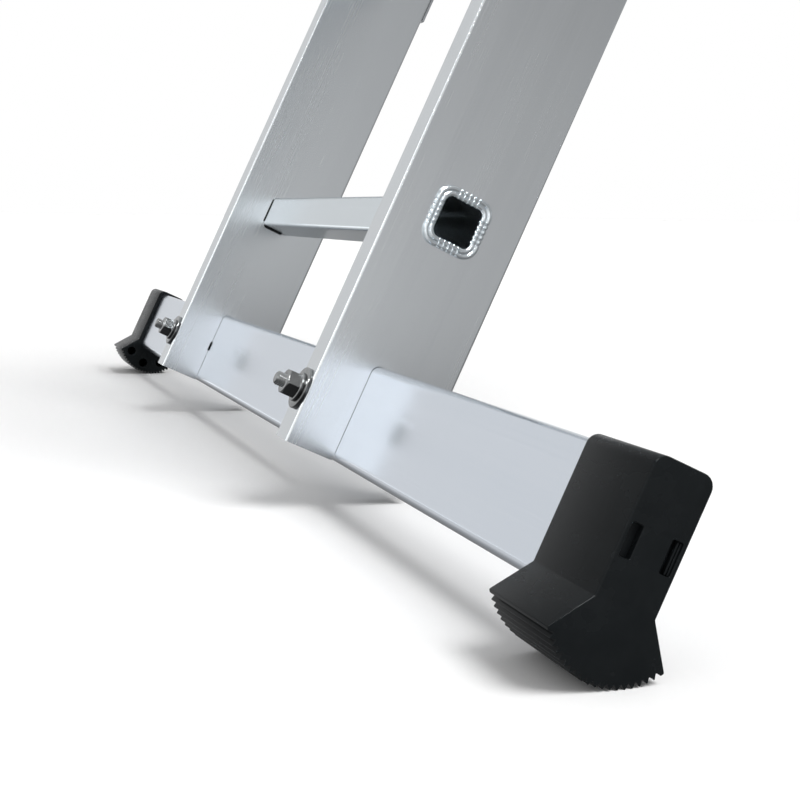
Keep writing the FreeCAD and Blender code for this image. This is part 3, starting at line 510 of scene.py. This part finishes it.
RUNG_HALF = 14.95
RUNG_CORNER = 4.0
RUNG_INSIDE_STILE = 0.5
BORE_CORNER = 4.5
FLARE_CORNER = 11.0
# Notches pressed into each side of the flare: their places, a notch's outline, and how deep it is.
NOTCHES = (-7.6, -3.8, 0.0, 3.8, 7.6)
NOTCH_SHAPE = ((-1.1, 0.0), (-0.8, 0.7), (-0.35, 1.0), (0.35, 1.0), (0.8, 0.7), (1.1, 0.0))
NOTCH_DEPTH = 1.55
TURN_STEPS = 8
# The sides of a rung are numbered from its back, by way of its top and its front.
UNDERSIDE = 3

# The flare's section: how far it stands off the stile's face, its half size, and how deep the notches cut it.
FLARE = (
    (0.02, 21.2, 0.0),
    (0.5, 21.7, 0.2),
    (1.2, 21.85, 0.6),
    (1.9, 21.7, 0.9),
    (2.5, 21.1, 1.0),
    (2.8, 20.2, 1.0),
    (2.7, 19.4, 0.8),
    (2.1, 18.8, 0.5),
    (1.9, 18.4, 0.4),
    (2.2, 18.0, 0.5),
    (2.85, 17.5, 0.9),
    (3.0, 16.8, 1.0),
    (2.9, 16.0, 1.0),
    (2.4, 15.2, 0.8),
    (1.5, 14.6, 0.4),
    (0.4, 14.3, 0.0),
    (-1.5, 14.2, 0.0),
)


def rung_columns():
    """A rung's lengthwise lines: side, place along it, notch depth, and the share of the corner's turn."""
    columns = []
    for quarter in range(4):
        for middle in NOTCHES:
            columns += [(quarter, middle + offset, depth, None) for offset, depth in NOTCH_SHAPE]
        columns += [(quarter, None, 0.0, step / TURN_STEPS) for step in range(TURN_STEPS + 1)]
    return columns


def rung_point(column, x, half, corner, notch):
    """A point of a rung's skin, in millimetres from the rung's middle."""
    quarter, along, notch_depth, turn = column
    cut = NOTCH_DEPTH * notch_depth * notch
    if turn is None:
        out, side = half, along
    else:
        out = half - corner + corner * math.cos(turn * math.pi / 2)
        side = half - corner + corner * math.sin(turn * math.pi / 2)
    x -= cut if x > 0 else -cut
    angle = quarter * math.pi / 2
    y = out * math.cos(angle) - side * math.sin(angle)
    z = out * math.sin(angle) + side * math.cos(angle)
    return Vector((x, y, z))


def flare_corner(half):
    """The corner radius, which narrows from the flare's rim to the bore."""
    rim, bore = FLARE[2][1], FLARE[-1][1]
    share = (half - bore) / (rim - bore)
    return BORE_CORNER + (FLARE_CORNER - BORE_CORNER) * share


def rung(node, stile_node, body):
    low, high = ladder_box(node)
    centre = (low + high) / 2
    outer = (ladder_box(stile_node)[1].x - centre.x) / MM
    height = (high.x - centre.x) / MM - outer
    tall = max(offset for offset, _, _ in FLARE)
    stations = [(outer - RUNG_INSIDE_STILE, RUNG_HALF, RUNG_CORNER, 0.0)]
    for offset, half, notch in FLARE:
        stations.append((outer + offset * height / tall, half, flare_corner(half), notch))
    columns = rung_columns()
    rings = []
    for mirror in (1, -1):
        for x, half, corner, notch in stations if mirror > 0 else reversed(stations):
            ring = [rung_point(column, mirror * x, half, corner, notch) for column in columns]
            rings.append([centre + point * MM for point in ring])
    shape = bmesh.new()
    loft(shape, rings)
    add_piece(f"crimped_{node}", shape, "rung_aluminium", body, [node], sharp=40)


TOOTH_STEP = 2.7
TEETH_SPAN = 11.0
RING_GAUGE = 1.0
RING_EDGE = 0.1
# A tooth: places as shares of the step, and how far they stand off the rung. The gaps are flush with it.
RING_FLUSH = 0.05
TOOTH = ((-0.3, RING_FLUSH), (-0.22, 0.85), (0.22, 0.85), (0.3, RING_FLUSH))
# Under the rung the ring has one plain ledge, which stops short of the back.
LEDGE_PROUD = 1.9
LEDGE_END = 7.5


def toothed_loop():
    """The outside of a toothed ring on a rung: teeth round three sides, and a plain ledge underneath."""
    loop = []
    for quarter in range(4):
        angle = quarter * math.pi / 2
        across = -TEETH_SPAN
        while across <= TEETH_SPAN:
            for offset, proud in TOOTH:
                if quarter == UNDERSIDE:
                    proud = LEDGE_PROUD if across < LEDGE_END else RING_FLUSH
                out = RUNG_HALF + proud
                side = across + offset * TOOTH_STEP
                x = out * math.cos(angle) - side * math.sin(angle)
                loop.append(Vector((x, out * math.sin(angle) + side * math.cos(angle))))
            across += TOOTH_STEP
    return loop


def joint_shade_rings(name, stile_node, body):
    """Painted shade: a thin dark toothed ring on each end of each rung, against the stile's inner face, stands in
    for the shaded gap where the rung goes into the stile.
    """
    shape = bmesh.new()
    inner = ladder_box(stile_node)[0].x
    bore_corners = rectangle((-RUNG_HALF, -RUNG_HALF), (RUNG_HALF, RUNG_HALF))
    bore = filleted(bore_corners, even(RUNG_CORNER))[::-1]
    for node in NODES:
        if node.startswith(f"{body}_rung_"):
            low, high = ladder_box(node)
            middle = Vector(((low.y + high.y) / 2, (low.z + high.z) / 2))
            loops = [[middle + point * MM for point in loop] for loop in (toothed_loop(), bore)]
            for side in (1, -1):
                start, stop = sorted((side * inner, side * (inner - RING_GAUGE * MM)))
                prism(shape, loops, X, start, stop, RING_EDGE * MM)
    # The dark rubber colour is the painted shade of the gap round the rung.
    add_piece(name, shape, "foot_rubber", body)


for node in NODES:
    if node.startswith("base_rung_"):
        rung(node, "base_stile_right", "base")
    if node.startswith("fly_rung_"):
        rung(node, "fly_stile_right", "fly")
joint_shade_rings("base_joint_shade_rings", "base_stile_right", "base")
joint_shade_rings("fly_joint_shade_rings", "fly_stile_right", "fly")


# ------------------------------------------------------------------------------- bolts, nuts and washers

THREAD_PITCH = 1.5
THREAD_DEPTH = 0.85
THREAD_LENGTH = 24.0
THREAD_STATIONS = 96
BOLT_RADIUS = 5.0
BOLT_END_RADIUS = 3.7
BOLT_END_SLOPE = 1.1
BOLT_HEAD = 6.4
SHANK_RADIUS = 4.6
HEX_STEPS = 96
NUT_CLEARANCE = 0.05
NUT_COUNTERSINK = 0.6
WASHER_CLEARANCE = 0.25


def hexagon(circumradius):
    """A reach for turned() that keeps the form inside a hexagon with a corner towards X.

    Heads and nuts are chamfered at each end, from this hexagon's corners down to about its flats.
    """

    def reach(angle, along, radius):
        apothem = circumradius * math.cos(math.pi / 6)
        return min(radius, apothem / math.cos(angle % (math.pi / 3) - math.pi / 6))

    return reach


def chamfer(start, end, inside, outside, steps=5):
    """Stations of a cone, from one radius at start to another at end."""
    rise, spread = end - start, outside - inside
    return [(start + rise * step / steps, inside + spread * step / steps) for step in range(steps + 1)]


def threaded_bolt(shape, low, high):
    """A hexagon bolt along Y, with its threaded end at the front."""
    centre = Vector(((low.x + high.x) / 2, 0, (low.z + high.z) / 2))
    start = low.y
    underhead = high.y - BOLT_HEAD * MM
    corner = (high.x - low.x) / 2
    flat = corner * math.cos(math.pi / 6)

    def thread(angle, along, radius):
        if not start < along < start + (THREAD_LENGTH + 0.2) * MM:
            return radius
        # The groove is deepest at phase 0, and there is a flat crest round phase 0.5.
        phase = ((along - start) / (THREAD_PITCH * MM) - angle / math.tau) % 1.0
        groove = max(0.0, 1.25 * abs(2 * phase - 1) - 0.25)
        cone = BOLT_END_RADIUS * MM + (along - start) * BOLT_END_SLOPE
        return min(radius - THREAD_DEPTH * MM * groove, cone)

    profile = [(start, 0.0), (start, (BOLT_END_RADIUS - 0.5) * MM)]
    for station in range(THREAD_STATIONS + 1):
        profile.append((start + THREAD_LENGTH * MM * (station + 0.1) / THREAD_STATIONS, BOLT_RADIUS * MM))
    shank_end = underhead + 0.1 * MM
    profile.append((profile[-1][0] + 0.5 * MM, SHANK_RADIUS * MM))
    profile += [(shank_end, SHANK_RADIUS * MM), (shank_end, 0.0)]
    turned(shape, profile, centre, Y, reach=thread)
    head = [(underhead, 0.0), (underhead, flat * 0.97)]
    head += chamfer(underhead, underhead + 0.4 * MM, flat * 0.98, corner, 3)
    head += chamfer(high.y - 1.0 * MM, high.y, corner, flat * 0.96)
    head += [(high.y, 0.0)]
    turned(shape, head, centre, Y, HEX_STEPS, hexagon(corner))


def hexagon_nut(shape, low, high):
    """A hexagon nut along Y, chamfered at its front, with a countersunk bore."""
    centre = Vector(((low.x + high.x) / 2, low.y, (low.z + high.z) / 2))
    corner = (high.x - low.x) / 2
    flat = corner * math.cos(math.pi / 6)
    length = high.y - low.y
    bore = (BOLT_RADIUS + NUT_CLEARANCE) * MM
    mouth = bore + NUT_COUNTERSINK * MM
    profile = [(0.5 * MM, bore), (0.0, mouth)]
    profile += chamfer(0.0, 1.1 * MM, flat * 0.95, corner)
    profile += chamfer(length - 0.5 * MM, length, corner, flat * 1.02, 3)
    profile += [(length, mouth), (length - 0.5 * MM, bore)]
    turned(shape, profile, centre, Y, HEX_STEPS, hexagon(corner), closed=True)


def washer(shape, low, high, edge=0.35):
    """A flat washer with rolled edges."""
    centre = Vector(((low.x + high.x) / 2, low.y, (low.z + high.z) / 2))
    radius = (high.x - low.x) / 2
    length = high.y - low.y
    bore = (BOLT_RADIUS + WASHER_CLEARANCE) * MM
    soft = edge * MM
    profile = [(soft, bore), (0.0, bore + soft)]
    for face, way in ((0.0, 1), (length, -1)):
        arc = []
        for step in range(5):
            turn = math.pi / 2 * step / 4
            arc.append((face + way * soft * (1 - math.cos(turn)), radius - soft + soft * math.sin(turn)))
        profile += arc if way > 0 else arc[::-1]
    profile += [(length, bore + soft), (length - soft, bore)]
    turned(shape, profile, centre, Y, 64, closed=True)


HARDWARE = (
    ("stabiliser_bolts", "threaded_bolts", threaded_bolt),
    ("lock_nuts", "chamfered_nuts", hexagon_nut),
    ("large_washers", "rolled_large_washers", lambda shape, low, high: washer(shape, low, high, 0.6)),
    ("small_washers", "rolled_small_washers", washer),
    ("rear_washers", "rolled_rear_washers", washer),
)
for node, name, make in HARDWARE:
    shape = bmesh.new()
    for low, high in solids_of(node):
        make(shape, low, high)
    fitting = add_piece(name, shape, "zinc_steel", "base", [node], sharp=32)
    # The bar and the stiles mirror the washers, but not the bolts and nuts.
    fitting.visible_glossy = name.startswith("rolled")


# -------------------------------------------------------------------------------------------------- feet

FOOT_HALF = 16.5
FOOT_TOP = 64.6
FOOT_KINK = -2.1
FAN_RADIUS = 38.4
FAN_HALF = 31.5
FOOT_EDGE = 1.0
# The tread's edge is sharper: it lies this near to the fan's rim, and this far below its axis.
TREAD_EDGE = 0.2
TREAD_BAND = 2.6
TREAD_BELOW = 18.0
# Degrees between the tread's teeth. The ladder's lean is four and a half of them, so it stands on a tooth.
TOOTH_PITCH = 25 / 4.5
TEETH = range(-9, 10)
# A groove of the tread: degrees from its middle, and depth.
GROOVE = (
    (-2.5, 0.0),
    (-2.2, 0.25),
    (-1.0, 1.6),
    (-0.45, 2.15),
    (0.0, 2.3),
    (0.45, 2.15),
    (1.0, 1.6),
    (2.2, 0.25),
    (2.5, 0.0),
)
SLOT_LOW, SLOT_HIGH = 17.1, 33.1
SLOT_HALF = 3.0
SLOT_OFFSET = 11.0
SLOT_DEPTH = 3.8
SLOT_CORNER = 1.0
SLOT_RIM = 0.5
# Ribs inside the rear slot: places, half width, gap at each end, edge, and depths of their foot and crest.
RIBS = (0.7, 2.3)
RIB_HALF = 0.55
RIB_GAP = 0.3
RIB_EDGE = 0.3
RIB_FOOT, RIB_CREST = 4.0, 1.0
BAR_HALF = (12.55, 36.05)
BAR_RISE = 25.6
BAR_CORNER = 6.0
BAR_MOUTH_DEPTH = 57.0
MOUTH_RIM = 0.4
BORE_ANGLES = (-135, -90, -45)
BORE_CIRCLE = 27.0
BORE_RADIUS = 5.0
BORE_DEPTH = 50.0
BORE_STEPS = 32


# Corner radii: none where the tread ends, then up the right side and down the left.
FOOT_RADII = (0.0, 0.0, 0.8, 1.2, 6.5, 6.5, 1.2, 0.8)


def foot_outline():
    """A foot seen from its end, in millimetres from the fan's axis."""
    drop = -math.sqrt(FAN_RADIUS**2 - FAN_HALF**2)
    tread = []
    for tooth in TEETH:
        for offset, depth in GROOVE:
            angle = math.radians(tooth * TOOTH_PITCH + offset)
            tread.append(Vector((math.sin(angle), -math.cos(angle))) * (FAN_RADIUS - depth))
    right = [(FAN_HALF, drop), (FOOT_HALF, FOOT_KINK), (FOOT_HALF, FOOT_TOP)]
    left = [(-FOOT_HALF, FOOT_TOP), (-FOOT_HALF, FOOT_KINK), (-FAN_HALF, drop)]
    block = [Vector(point) for point in [tread[0], tread[-1]] + right + left]
    radii = iter(FOOT_RADII)
    rounded = filleted(block, lambda back, ahead, out: next(radii), steps=7)
    return tread + rounded[2:]


def sunk(shape, loop, axis, level, bottom, rim):
    """A pocket with a rounded rim. Returns the ring of points round its mouth."""
    way = 1 if bottom > level else -1
    rings = []
    for turn in EDGE_TURNS:
        flat = inset(loop, [-rim * (1 - math.sin(turn))] * len(loop))
        rings.append([placed(point, axis, level + way * rim * (1 - math.cos(turn))) for point in flat])
    rings.append([placed(point, axis, bottom) for point in loop])
    made = loft(shape, rings, closed=False)
    shape.faces.new(made[-1])
    return made[0]


def foot(node, side):
    """A moulded foot: slots in its outer end, and pockets for the bar and three bores in its inner end."""
    low, high = ladder_box(node)
    fan = Vector(((low.y + high.y) / 2, high.z - FOOT_TOP * MM))
    mouth, end = (low.x, high.x) if side > 0 else (high.x, low.x)
    way = side * MM

    def to_ladder(points):
        return [fan + Vector(point) * MM for point in points]

    def edge_at(point):
        in_band = (point - fan).length > (FAN_RADIUS - TREAD_BAND) * MM
        below = point.y < fan.y - TREAD_BELOW * MM
        return (TREAD_EDGE if in_band and below else FOOT_EDGE) * MM

    shape = bmesh.new()
    outer = to_ladder(foot_outline())
    firsts, lasts = prism(shape, [outer], X, low.x, high.x, 0, edge_at, ends=(False, False))
    mouth_ring, end_ring = (firsts, lasts) if side > 0 else (lasts, firsts)

    slots = []
    for offset in (-SLOT_OFFSET, SLOT_OFFSET):
        corners = rectangle((offset - SLOT_HALF, SLOT_LOW), (offset + SLOT_HALF, SLOT_HIGH))
        loop = to_ladder(filleted(corners, even(SLOT_CORNER)))
        slots.append(sunk(shape, loop, X, end, end - SLOT_DEPTH * way, SLOT_RIM * MM))
    lid(shape, end_ring + slots, X)
    for rib in RIBS:
        low_corner = (SLOT_OFFSET + rib - RIB_HALF, SLOT_LOW + RIB_GAP)
        high_corner = (SLOT_OFFSET + rib + RIB_HALF, SLOT_HIGH - RIB_GAP)
        loop = to_ladder(filleted(rectangle(low_corner, high_corner), even(RIB_EDGE), steps=2))
        start, stop = sorted((end - RIB_FOOT * way, end - RIB_CREST * way))
        prism(shape, [loop], X, start, stop, RIB_EDGE * MM)

    holes = []
    corners = rectangle((-BAR_HALF[0], BAR_RISE - BAR_HALF[1]), (BAR_HALF[0], BAR_RISE + BAR_HALF[1]))
    loop = to_ladder(filleted(corners, even(BAR_CORNER), steps=7))
    holes.append(sunk(shape, loop, X, mouth, mouth + BAR_MOUTH_DEPTH * way, MOUTH_RIM * MM))
    circle = [math.tau * step / BORE_STEPS for step in range(BORE_STEPS)]
    for degrees in BORE_ANGLES:
        angle = math.radians(degrees)
        middle = Vector((math.cos(angle), math.sin(angle))) * BORE_CIRCLE
        loop = to_ladder([middle + Vector((math.cos(a), math.sin(a))) * BORE_RADIUS for a in circle])
        holes.append(sunk(shape, loop, X, mouth, mouth + BORE_DEPTH * way, MOUTH_RIM * MM))
    lid(shape, mouth_ring + holes, X)
    add_piece(f"moulded_{node}", shape, "foot_rubber", "base", [node], sharp=38)


for name, side in SIDES.items():
    foot(f"foot_cap_{name}", side)


# ---------------------------------------------------------------------- pressed, moulded and forged parts

SHEET = 2.5
BEND_OUTSIDE = 3.6
BEND_INSIDE = 1.1
BROKEN_EDGE = 0.45
BLOCK_CORNER = 0.5
FORGED_OUTSIDE = 1.6
FORGED_INSIDE = 2.2
CAP_EDGE = 1.0
PLUG_EDGE = 0.4
PLUG_IN_PLATE = 0.5
STOP_CORNER = 2.0
STOP_EDGE = 0.9


def sheet_corner(back, ahead, out):
    """Bends where both sides are longer than the sheet is thick, and otherwise a broken edge."""
    if min(back, ahead) > 1.5 * SHEET * MM:
        return (BEND_OUTSIDE if out else BEND_INSIDE) * MM
    return BROKEN_EDGE * MM


def forged_corner(back, ahead, out):
    return (FORGED_OUTSIDE if out else FORGED_INSIDE) * MM


def from_section(name, node, slot, body, axis=Z, corner=sheet_corner, edge=0.3):
    """A piece with a CAD node's section along an axis, with its bends and its edges rounded."""
    low, high = ladder_box(node)
    shape = bmesh.new()
    loops = [filleted(loop, corner) for loop in loops_at(node, axis, low[axis])]
    prism(shape, loops, axis, low[axis], high[axis], edge * MM)
    add_piece(name, shape, slot, body, [node])


def end_cap(node, stile_node, body):
    """A moulded cap: a plate with a soft rim over the stile's end, and the plug inside it."""
    low, high = ladder_box(node)
    stile_low, stile_high = ladder_box(stile_node)
    upward = high.z > stile_high.z + MM
    end = stile_high.z if upward else stile_low.z
    face, plug_end = (high.z, low.z) if upward else (low.z, high.z)
    shape = bmesh.new()
    prism(shape, loops_at(node, Z, face), Z, *sorted((end, face)), CAP_EDGE * MM)
    plug_root = end + (PLUG_IN_PLATE if upward else -PLUG_IN_PLATE) * MM
    prism(shape, loops_at(node, Z, plug_end), Z, *sorted((plug_end, plug_root)), PLUG_EDGE * MM)
    add_piece(f"soft_{node}", shape, "cap_plastic", body, [node])


block_corner = even(BLOCK_CORNER * MM)
for name in SIDES:
    from_section(f"bent_guide_bracket_{name}", f"guide_bracket_{name}", "bracket_steel", "base")
    liner = f"guide_liner_{name}"
    from_section(f"soft_{liner}", liner, "liner_plastic", "base", corner=block_corner)
    from_section(f"bent_lower_guide_{name}", f"lower_guide_{name}", "bracket_steel", "fly")
    liner = f"lower_guide_liner_{name}"
    from_section(f"soft_{liner}", liner, "liner_plastic", "fly", corner=block_corner)
    from_section(f"bent_lock_housing_{name}", f"lock_housing_{name}", "bracket_steel", "fly")
    lock = f"rung_lock_{name}"
    from_section(f"forged_{lock}", lock, "lock_steel", f"lock_{name}", X, forged_corner, 0.9)
    end_cap(f"base_top_cap_{name}", f"base_stile_{name}", "base")
    end_cap(f"fly_top_cap_{name}", f"fly_stile_{name}", "fly")
    end_cap(f"fly_foot_cap_{name}", f"fly_stile_{name}", "fly")

shape = bmesh.new()
for low, high in solids_of("fly_stops"):
    loop = filleted(rectangle((low.y, low.z), (high.y, high.z)), even(STOP_CORNER * MM))
    prism(shape, [loop], X, low.x, high.x, STOP_EDGE * MM)
add_piece("soft_fly_stops", shape, "cap_plastic", "base", ["fly_stops"])


# -------------------------------------------------------------------------------- rivets, pins and springs

# Each profile below is in pairs of radius and depth. A rivet's stem and tail are measured from its two ends.
RIVET_RADIUS = 2.4
RIVET_HEAD = 1.8
RIVET_STEM = ((0.0, 0.55), (0.8, 0.55), (1.05, 0.5), (1.1, 0.1), (1.3, 0.0), (1.9, 0.04))
RIVET_TAIL = ((RIVET_RADIUS, 0.4), (2.1, 0.1), (0.0, 0.0))
DOME_STEPS = 6
DOME_WIDTH = 2.2
DOME_DROP = 1.3
PIN_HEAD = ((0.0, 0.0), (4.6, 0.0), (5.6, 0.15), (6.3, 0.6), (6.5, 1.1), (6.5, 2.0), (3.98, 2.0))
PIN_TIP = ((3.98, 0.6), (3.4, 0.0), (0.0, 0.0))


def rivet(shape, low, high, outward):
    """A blind rivet along X, with a domed head, the broken stem in its middle, and a tail."""
    centre = (low + high) / 2
    radius = (high.y - low.y) / 2 / MM
    face, tail = (high.x, low.x) if outward > 0 else (low.x, high.x)
    head = list(RIVET_STEM)
    stem_edge = RIVET_STEM[-1][1]
    for step in range(DOME_STEPS):
        angle = math.pi / 2 * (step + 1) / DOME_STEPS
        size = radius - DOME_WIDTH + DOME_WIDTH * math.sin(angle)
        head.append((size, stem_edge + DOME_DROP * (1 - math.cos(angle))))
    head += [(radius, RIVET_HEAD), (RIVET_RADIUS, RIVET_HEAD)]
    profile = [(face - outward * depth * MM, size * MM) for size, depth in head]
    profile += [(tail + outward * depth * MM, size * MM) for size, depth in RIVET_TAIL]
    turned(shape, profile, (0, centre.y, centre.z), X, 32)


def lock_pin(shape, low, high, side):
    """A headed pin along X. Its head is towards the middle of the ladder."""
    centre = (low + high) / 2
    head, tip = (low.x, high.x) if side > 0 else (high.x, low.x)
    way = side * MM
    profile = [(head + depth * way, size * MM) for size, depth in PIN_HEAD]
    profile += [(tip - depth * way, size * MM) for size, depth in PIN_TIP]
    turned(shape, profile, (0, centre.y, centre.z), X)


SPRING_WIRE = 0.68
SPRING_CLEARANCE = 0.02
COIL_PITCH = 2.12
COIL_STEPS = 28
WIRE_SIDES = 10


def torsion_spring(shape, low, high, side):
    """Close coils round the pin, wound the other way on the other side. The pitch is in radii of the wire."""
    centre = (low + high) / 2
    wire = SPRING_WIRE * MM
    radius = (high.y - low.y) / 2 - wire - SPRING_CLEARANCE * MM
    length = high.x - low.x - 2 * wire
    turns = max(2, round(length / (COIL_PITCH * wire)))
    steps = turns * COIL_STEPS
    path = []
    for step in range(steps + 1):
        angle = side * math.tau * step / COIL_STEPS
        along = low.x + wire + length * (step / steps)
        path.append(Vector((along, radius * math.cos(angle), radius * math.sin(angle))))
    middle = Vector((0, centre.y, centre.z))
    circle = [math.tau * step / WIRE_SIDES for step in range(WIRE_SIDES)]
    rings = []
    for index, point in enumerate(path):
        ahead = (path[min(index + 1, len(path) - 1)] - path[max(index - 1, 0)]).normalized()
        out = Vector((0, point.y, point.z)).normalized()
        across = ahead.cross(out)
        out = across.cross(ahead)
        rings.append([middle + point + (out * math.cos(a) + across * math.sin(a)) * wire for a in circle])
    made = loft(shape, rings, closed=False)
    shape.faces.new(made[0])
    shape.faces.new(made[-1])


for node, body, inward in (
    ("guide_rivets", "base", False),
    ("stop_rivets", "base", False),
    ("strap_rivets", "fly", False),
    ("housing_rivets", "fly", True),
):
    shape = bmesh.new()
    for low, high in solids_of(node):
        outward = 1 if low.x + high.x > 0 else -1
        rivet(shape, low, high, -outward if inward else outward)
    add_piece(f"domed_{node}", shape, "rivet_aluminium", body, [node])

for name, side in SIDES.items():
    for node, slot, title, make in (
        (f"lock_pin_{name}", "zinc_steel", "headed", lock_pin),
        (f"lock_spring_{name}", "spring_steel", "coiled", torsion_spring),
    ):
        shape = bmesh.new()
        make(shape, *ladder_box(node), side)
        add_piece(f"{title}_{node}", shape, slot, "fly", [node])


# ----------------------------------------------------------------------------------------------- the stage


FLOOR_REACH = 40.0
SUN_ANGLE = 34
SUN_STRENGTH = 2.42
SUN_TOWARDS = (-0.55, -0.42, -1.0)
MIRRORED_TINT = (0.98, 0.99, 1.0)
CAMERA_WHITE = 1.0
DOME_LEVEL = 0.60
ROOM_LEVEL = 0.72

# Darker sides and bright panels of the room that the metal reflects. Each is a direction, the cosines of the
# angles from it where it starts and where it is full, and what it adds to the room's level.
PANELS = (
    ((0.707, 0.707, 0.0), 0.80, 0.91, -0.30),
    ((0.5, 0.65, 0.58), 0.75, 0.95, -0.2),
    ((0.872, -0.449, 0.191), 0.980, 0.992, 0.95),
    ((0.30, -0.80, 0.45), 0.966, 0.987, 1.9),
    ((0.44, -0.16, 0.88), 0.984, 0.994, 45.0),
    ((0.972, -0.150, 0.180), 0.988, 0.999, 0.58),
)


def painted_reflected_tone(nodes, place):
    """Painted reflection: how bright the floor looks in the metal, by place in metres, with painted shade under
    the ladder and painted light round it.
    """
    split = nodes.add("ShaderNodeSeparateXYZ")
    nodes.put(split, 0, place)
    back = split.outputs["Y"]
    outward = nodes.math("ABSOLUTE", split.outputs["X"])
    tone = nodes.ramp(outward, 0.36, 1.1, 0.22, 0.47)
    slanted = nodes.math("SUBTRACT", back, nodes.math("MULTIPLY", outward, 0.28))
    beyond_foot = nodes.ramp(outward, 1.2, 1.9)
    in_front = nodes.ramp(slanted, -0.02, 0.12, 0.50, 0.0)
    tone = nodes.math("ADD", tone, nodes.math("MULTIPLY", beyond_foot, in_front))
    return nodes.math("ADD", tone, nodes.ramp(back, -0.10, -0.01, 0.42, 0.0))


def white_floor():
    """A floor so large that its edge is never seen. Reflections do not see its lit white but a glowing painted
    tone in its place.
    """
    material, nodes, shader = new_material("studio_floor")
    place = nodes.add("ShaderNodeTexCoord").outputs["Object"]
    mottle = nodes.noise(place, (2.0, 2.0, 2.0))
    nodes.put(shader, "Base Color", nodes.blend(mottle, (0.90, 0.90, 0.90), (0.92, 0.92, 0.92)))
    shader.inputs["Roughness"].default_value = 0.9
    shader.inputs["Specular IOR Level"].default_value = 0.1
    tone = painted_reflected_tone(nodes, place)
    # Painted reflection: to glossy rays the floor glows with this painted tone in place of its lit shading.
    painted_reflection = nodes.add("ShaderNodeEmission")
    nodes.put(painted_reflection, "Color", (*MIRRORED_TINT, 1))
    nodes.put(painted_reflection, "Strength", tone)
    ray = nodes.add("ShaderNodeLightPath")
    either = nodes.choose(ray.outputs["Is Glossy Ray"], shader.outputs[0], painted_reflection.outputs[0])
    nodes.put(material.node_tree.nodes["Material Output"], "Surface", either)
    mesh = bpy.data.meshes.new("floor")
    corners = rectangle((-FLOOR_REACH, -FLOOR_REACH), (FLOOR_REACH, FLOOR_REACH))
    mesh.from_pydata([placed(corner, Z, 0) for corner in corners], [], [(0, 1, 2, 3)])
    mesh.materials.append(material)
    floor = bpy.data.objects.new("floor", mesh)
    bpy.context.scene.collection.objects.link(floor)


def studio_world():
    """White to the camera, a room with bright panels to what reflects it, and a plain dome to the rest."""
    world = bpy.data.worlds.new("studio")
    bpy.context.scene.world = world
    world.use_nodes = True
    nodes = Nodes(world.node_tree)
    place = nodes.add("ShaderNodeTexCoord").outputs["Generated"]
    light = ROOM_LEVEL
    for direction, wide, narrow, amount in PANELS:
        facing = nodes.add("ShaderNodeVectorMath", operation="DOT_PRODUCT")
        nodes.put(facing, 0, place)
        nodes.put(facing, 1, Vector(direction).normalized())
        light = nodes.math("ADD", light, nodes.ramp(facing.outputs["Value"], wide, narrow, 0.0, amount))
    room = nodes.background(MIRRORED_TINT, light)
    plain = nodes.background((1, 1, 1), CAMERA_WHITE)
    dome = nodes.background((1, 1, 1), DOME_LEVEL)
    ray = nodes.add("ShaderNodeLightPath")
    unseen = nodes.choose(ray.outputs["Is Glossy Ray"], dome, room)
    either = nodes.choose(ray.outputs["Is Camera Ray"], unseen, plain)
    output = nodes.add("ShaderNodeOutputWorld")
    nodes.put(output, "Surface", either)


def soft_sun():
    """A broad light from above, a little behind the ladder and to its right."""
    lamp = bpy.data.lights.new("overhead", "SUN")
    lamp.angle = math.radians(SUN_ANGLE)
    lamp.energy = SUN_STRENGTH
    holder = bpy.data.objects.new("overhead", lamp)
    bpy.context.scene.collection.objects.link(holder)
    holder.rotation_euler = Vector(SUN_TOWARDS).to_track_quat("-Z", "Y").to_euler()
    holder.visible_glossy = False


CAMERA_PLACE = (1.1205, -0.2857, 0.2030)
CAMERA_HEADING, CAMERA_PITCH, CAMERA_ROLL = 69.98, -7.87, 0.725
FOCAL_LENGTH = 61.25
SENSOR_WIDTH = 36.0


def camera():
    """A low camera beside the right foot, looking along the stabiliser bar."""
    lens = bpy.data.cameras.new("camera")
    lens.lens = FOCAL_LENGTH
    lens.sensor_width = SENSOR_WIDTH
    lens.clip_start = 0.05
    lens.clip_end = 100.0
    holder = bpy.data.objects.new("camera", lens)
    bpy.context.scene.collection.objects.link(holder)
    heading, pitch, roll = map(math.radians, (CAMERA_HEADING, CAMERA_PITCH, CAMERA_ROLL))
    flat = math.cos(pitch)
    forward = Vector((-math.sin(heading) * flat, math.cos(heading) * flat, math.sin(pitch)))
    level = forward.to_track_quat("-Z", "Y").to_matrix().to_4x4()
    holder.matrix_world = Matrix.Translation(CAMERA_PLACE) @ level @ Matrix.Rotation(roll, 4, "Z")
    bpy.context.scene.camera = holder


white_floor()
studio_world()
soft_sun()
camera()
bpy.context.scene.view_settings.view_transform = "Standard"
